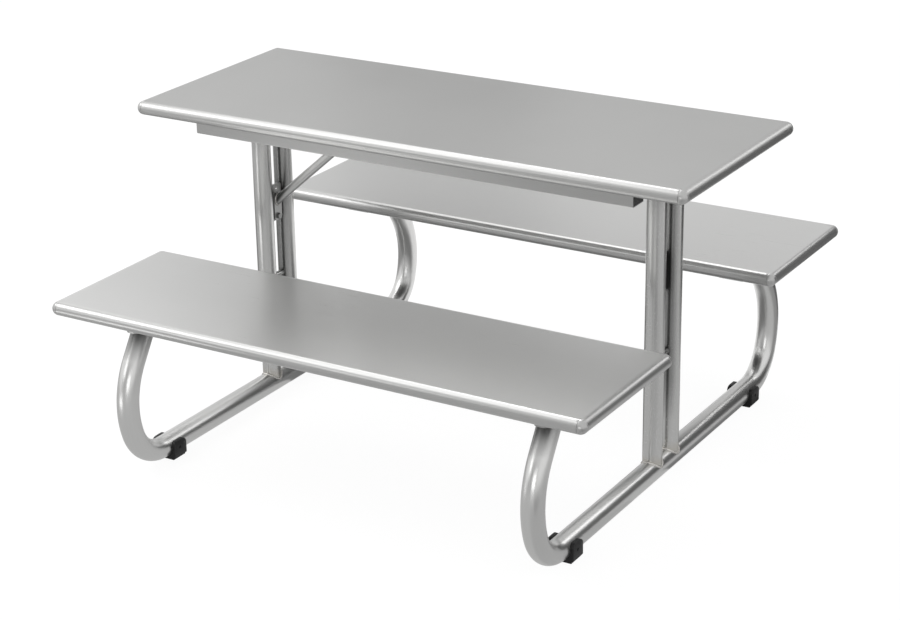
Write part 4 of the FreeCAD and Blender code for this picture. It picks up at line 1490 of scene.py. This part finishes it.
class Table:
    """The whole object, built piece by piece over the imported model."""

    def __init__(self, nodes: dict[str, bpy.types.Object], finishes: Finishes) -> None:
        """Keep what the build needs.

        Args:
            nodes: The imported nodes.
            finishes: The finishes.
        """
        self.nodes = nodes
        self.finishes = finishes

    def build(self) -> None:
        """Build every piece in order."""
        self._dress_packed_nodes()
        self._build_slabs()
        tubes, posts, brace = self._build_frames()
        Welds(self.finishes.bead).build(tubes, posts, brace)
        Fasteners(self.finishes.fastener).build()

    def _build_slabs(self) -> None:
        """Build the table top and both seats."""
        RolledSlab("table_top_skin", self.finishes.top).build("table_top_tray")
        for side in SIDES:
            RolledSlab(f"{side}_seat_skin", self.finishes.seat).build(f"{side}_seat_tray")

    def _build_frames(self) -> tuple[list[BentFrameTube], list[Post], Brace]:
        """Build both frames' tubes, glides and the brace.

        Returns:
            The base tubes, the posts and the brace.
        """
        tubes, posts = [], []
        for end_name, end in ENDS.items():
            tube = BentFrameTube(end)
            tube.build(f"{end_name}_floor_tube", f"{end_name}_base_tube", self.finishes.base)
            tubes.append(tube)
            for side_name, side in SIDES.items():
                corner = f"{side_name}_{end_name}"
                post = Post(end, side, tube)
                post.build(f"{corner}_upright", f"{corner}_post", self.finishes.post)
                posts.append(post)
                Glide(tube, side).build(f"{corner}_saddle_glide", f"{corner}_glide", self.finishes.glide)
        brace = Brace()
        brace.build("diagonal_tube", "brace_tube", self.finishes.brace)
        return tubes, posts, brace

    def _dress_packed_nodes(self) -> None:
        """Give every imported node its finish, also those that a piece stands for later."""
        finish = self.finishes
        by_ending: list[tuple[tuple[str, ...], bpy.types.Material]] = [
            (("core_board",), finish.board),
            (("seat_lining_sheet",), finish.seat_lining),
            (("lining_sheet",), finish.lining),
            (("_skin",), finish.top),
            (("glide_screws",), finish.dark_screw),
            (("_screws", "_bolts", "_bolt", "_nuts", "_nut", "_washers"), finish.fastener),
            (("_welds",), finish.bead),
            (("_glide",), finish.glide),
            (("_rail", "_crossbar"), finish.rail),
            (("_bearer", "_plate", "brace_foot", "brace_tab"), finish.plate),
            (("base_tube",), finish.base),
        ]
        for name, node in self.nodes.items():
            material = next((material for endings, material in by_ending if name.endswith(endings)),
                            finish.post)
            for slot in node.material_slots:
                slot.material = material
            LOG.info("%s: dressed in %s", name, material.name)


# --- Studio --------------------------------------------------------------------------------------


@dataclass(frozen=True)
class Softbox:
    """A soft rectangular lamp.

    Attributes:
        name: Its name.
        place: Where it hangs.
        target: What it points at.
        size: Its width and height.
        level: How bright its face looks, where 1 is white.
    """

    name: str
    place: Point
    target: Point
    size: tuple[float, float]
    level: float

    def build(self) -> None:
        """Hang the lamp."""
        data = bpy.data.lights.new(self.name, "AREA")
        data.shape = "RECTANGLE"
        data.size, data.size_y = self.size
        data.energy = self.level * pi * self.size[0] * self.size[1]
        lamp = bpy.data.objects.new(self.name, data)
        lamp.location = self.place
        aim = Vector(self.target) - Vector(self.place)
        lamp.rotation_euler = aim.to_track_quat("-Z", "Y").to_euler()
        bpy.context.scene.collection.objects.link(lamp)


@dataclass(frozen=True)
class ReflectedCard:
    """A grey card that only the metal's reflections see.

    Attributes:
        name: Its name.
        place: Its middle.
        size: Its width and height.
        level: How bright it looks, where 1 is white.
        target: What it faces, or None for a card that lies flat and faces up.
        turn: Its turn about an upright axis, in radians.
    """

    name: str
    place: Point
    size: tuple[float, float]
    level: float
    target: Point | None = None
    turn: float = 0.0

    def build(self) -> None:
        """Stand the card up."""
        half_x, half_y = self.size[0] / 2, self.size[1] / 2
        facing = Vector(self.target) - Vector(self.place) if self.target else Vector((0.0, 0.0, 1.0))
        aim = facing.to_track_quat("-Z", "Y").to_matrix().to_4x4()
        turn = Matrix.Translation(Vector(self.place)) @ Matrix.Rotation(self.turn, 4, "Z") @ aim
        look = Look(self.name)
        glow = look.node("ShaderNodeEmission", {"Color": (self.level,) * 3 + (1.0,), "Strength": 1.0})
        look.tree.links.new(glow.outputs[0], look.tree.nodes["Material Output"].inputs["Surface"])
        card = stage_sheet(self.name, [turn @ Vector((x, y, 0.0)) for x, y in (
            (-half_x, -half_y), (half_x, -half_y), (half_x, half_y), (-half_x, half_y))], look.material)
        card.visible_camera = False
        card.visible_diffuse = False
        card.visible_shadow = False
        card.visible_transmission = False
        card.visible_volume_scatter = False


def stage_sheet(name: str, corners: Iterable[Sequence[float]],
                material: bpy.types.Material) -> bpy.types.Object:
    """Make a flat sheet that belongs to the studio.

    Args:
        name: Its name.
        corners: Its four corners.
        material: Its material.

    Returns:
        The sheet.
    """
    mesh = bpy.data.meshes.new(name)
    mesh.from_pydata([tuple(corner) for corner in corners], [], [(0, 1, 2, 3)])
    mesh.materials.append(material)
    sheet = bpy.data.objects.new(name, mesh)
    bpy.context.scene.collection.objects.link(sheet)
    return sheet


@dataclass(frozen=True)
class Viewpoint:
    """The camera.

    Attributes:
        azimuth: Its direction round the object in degrees, 0 on the front bench's side.
        elevation: Its angle above the horizon in degrees.
        roll: Its tilt about its own axis in degrees.
        distance: From the camera to the table top's middle, along its axis.
        aim: The table top's middle.
        aim_right: How far that lies right of the picture's middle.
        aim_up: How far that lies above it.
        lens: Its focal length in millimetres.
        sensor: Its sensor's width in millimetres.
        farthest: How far it sees.
    """

    azimuth: float = 31.341
    elevation: float = 21.531
    roll: float = -1.0
    distance: float = 4.7178
    aim: Point = (0.0, 0.0, 0.74)
    aim_right: float = 0.0161
    aim_up: float = 0.4230
    lens: float = 88.73
    sensor: float = 36.0
    farthest: float = 200.0

    def build(self) -> None:
        """Stand the camera up and make it the scene's own."""
        turn, rise, roll = radians(self.azimuth), radians(self.elevation), radians(self.roll)
        back = Vector((sin(turn) * cos(rise), -cos(turn) * cos(rise), sin(rise)))
        level = Vector((cos(turn), sin(turn), 0.0))
        upright = back.cross(level)
        right = level * cos(roll) + upright * sin(roll)
        up = upright * cos(roll) - level * sin(roll)
        place = Vector(self.aim) - right * self.aim_right - up * self.aim_up + back * self.distance
        data = bpy.data.cameras.new("view_camera")
        data.sensor_width = self.sensor
        data.lens = self.lens
        data.clip_end = self.farthest
        camera = bpy.data.objects.new("view_camera", data)
        rotation = Matrix((right, up, back)).transposed().to_4x4()
        camera.matrix_world = Matrix.Translation(place) @ rotation
        bpy.context.scene.collection.objects.link(camera)
        bpy.context.scene.camera = camera


def seen_rays(builder: NodeBuilder) -> Socket:
    """1 for rays that see a picture of the room: straight, mirrored or through glass.

    Args:
        builder: The tree that asks.

    Returns:
        The socket.
    """
    path = builder.node("ShaderNodeLightPath").outputs
    first = builder.math("MAXIMUM", path["Is Camera Ray"], path["Is Glossy Ray"])
    return builder.math("MAXIMUM", first, path["Is Transmission Ray"])


@dataclass(frozen=True)
class Studio:
    """The floor, the world, the lamps, the reflected cards and the camera.

    Attributes:
        world_level: How strongly the world lights the object.
        floor_colour: The floor's own colour.
        floor_reach: From the middle of the floor to its edges.
        floor_glow: Share of the floor's look that is plain white, so the shadow stays faint.
        glow_level: How bright that white is.
        lamps: The lamps.
        cards: The cards that the metal mirrors.
    """

    world_level: float = 0.85
    floor_colour: Colour = (0.96, 0.96, 0.96)
    floor_reach: float = 40.0
    floor_glow: float = 0.90
    glow_level: float = 1.04
    lamps: tuple[Softbox, ...] = (
        Softbox("overhead_left_softbox", (-1.4, 0.0, 3.2), (-1.4, 0.0, 0.5), (1.8, 4.4), 1.5),
        Softbox("overhead_right_softbox", (-0.5, 1.1, 2.8), (0.4, 0.0, 0.4), (0.9, 0.9), 2.4),
        Softbox("camera_softbox", (1.4, -3.9, 0.85), (0.0, -0.5, 0.3), (1.8, 1.0), 2.0),
        Softbox("rear_right_softbox", (1.6, 3.4, 2.4), (0.6, 0.0, 0.7), (1.2, 0.7), 1.8),
        Softbox("bench_softbox", (-2.05, -3.45, 1.6), (0.0, -0.3, 0.4), (1.3, 1.0), 1.7),
        Softbox("upper_left_softbox", (-3.0, -1.5, 2.95), (-0.4, -0.5, 0.5), (2.2, 1.5), 3.0),
    )
    cards: tuple[ReflectedCard, ...] = (
        ReflectedCard("front_card", (0.0, -5.6, 1.2), (9.0, 4.6), 0.5, target=(0.0, 0.0, 0.8)),
        ReflectedCard("rear_right_card", (1.5, 1.5, 0.55), (2.2, 1.1), 0.08, target=(0.6, 0.0, 0.55)),
        ReflectedCard("rear_card", (-2.6, 4.2, 2.2), (0.9, 2.4), 0.5, target=(0.0, 0.0, 0.7)),
        ReflectedCard("rear_wide_card", (-1.2, 5.4, 2.0), (8.0, 4.0), 0.72, target=(0.0, 0.0, 0.7)),
        ReflectedCard("floor_wide", (0.0, -1.8, 0.0006), (9.0, 4.8), 0.60),
        # Painted shadow: a dark card in place of the shade under the table, seen only in reflections.
        ReflectedCard("floor_under_painted_shadow", (-0.125, 0.26, 0.0018), (1.35, 0.48), 0.22),
        ReflectedCard("floor_right", (1.20, 0.78, 0.0016), (1.20, 0.40), 0.36),
        ReflectedCard("floor_front_right", (1.05, -0.7, 0.0012), (1.1, 1.1), 0.52),
        ReflectedCard("floor_facing", (1.22, -1.10, 0.0022), (0.55, 0.85), 0.32, turn=0.55),
        ReflectedCard("floor_rear", (1.6, 2.1, 0.0012), (2.2, 2.3), 0.13),
        ReflectedCard("floor_left", (-1.5, 0.3, 0.0012), (1.3, 1.0), 0.30),
        ReflectedCard("floor_strip", (-1.04, -1.40, 0.0024), (0.50, 0.80), 2.3, turn=-0.38),
    )

    def build(self) -> None:
        """Set the whole studio up."""
        bpy.context.scene.view_settings.view_transform = "Standard"
        self._world()
        self._floor()
        for thing in (*self.lamps, *self.cards, Viewpoint()):
            thing.build()

    def _world(self) -> None:
        """White to the eye and in reflections, and an even light on the object."""
        world = bpy.data.worlds.new("white_room")
        bpy.context.scene.world = world
        world.use_nodes = True
        builder = NodeBuilder(world.node_tree)
        builder.tree.nodes.clear()
        light, white = (builder.node("ShaderNodeBackground", {"Color": WHITE, "Strength": level}).outputs[0]
                        for level in (self.world_level, 1.0))
        mix = builder.node("ShaderNodeMixShader", {0: seen_rays(builder), 1: light, 2: white})
        builder.node("ShaderNodeOutputWorld", {"Surface": mix.outputs[0]})

    def _floor(self) -> None:
        """A wide pale floor that keeps the object's shadow."""
        look = Look("pale_floor")
        look.inputs["Base Color"].default_value = (*self.floor_colour, 1.0)
        look.inputs["Roughness"].default_value = 1.0
        look.inputs["Specular IOR Level"].default_value = 0.0
        matt = look.tree.nodes["Principled BSDF"].outputs[0]
        glow = look.node("ShaderNodeEmission", {"Color": WHITE, "Strength": self.glow_level})
        share = look.math("MULTIPLY", seen_rays(look), self.floor_glow)
        mix = look.node("ShaderNodeMixShader", {0: share, 1: matt, 2: glow.outputs[0]})
        look.tree.links.new(mix.outputs[0], look.tree.nodes["Material Output"].inputs["Surface"])
        reach = self.floor_reach
        stage_sheet("floor", [(x * reach, y * reach, 0.0) for x, y in ((-1, -1), (1, -1), (1, 1), (-1, 1))],
                    look.material)


def main() -> None:
    """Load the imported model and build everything."""
    logging.basicConfig(level=logging.INFO, format="%(name)s: %(message)s")
    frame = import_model()
    Table(frame["nodes"], Finishes()).build()
    Studio().build()
    bpy.context.view_layer.update()


if __name__ == "__main__":
    main()
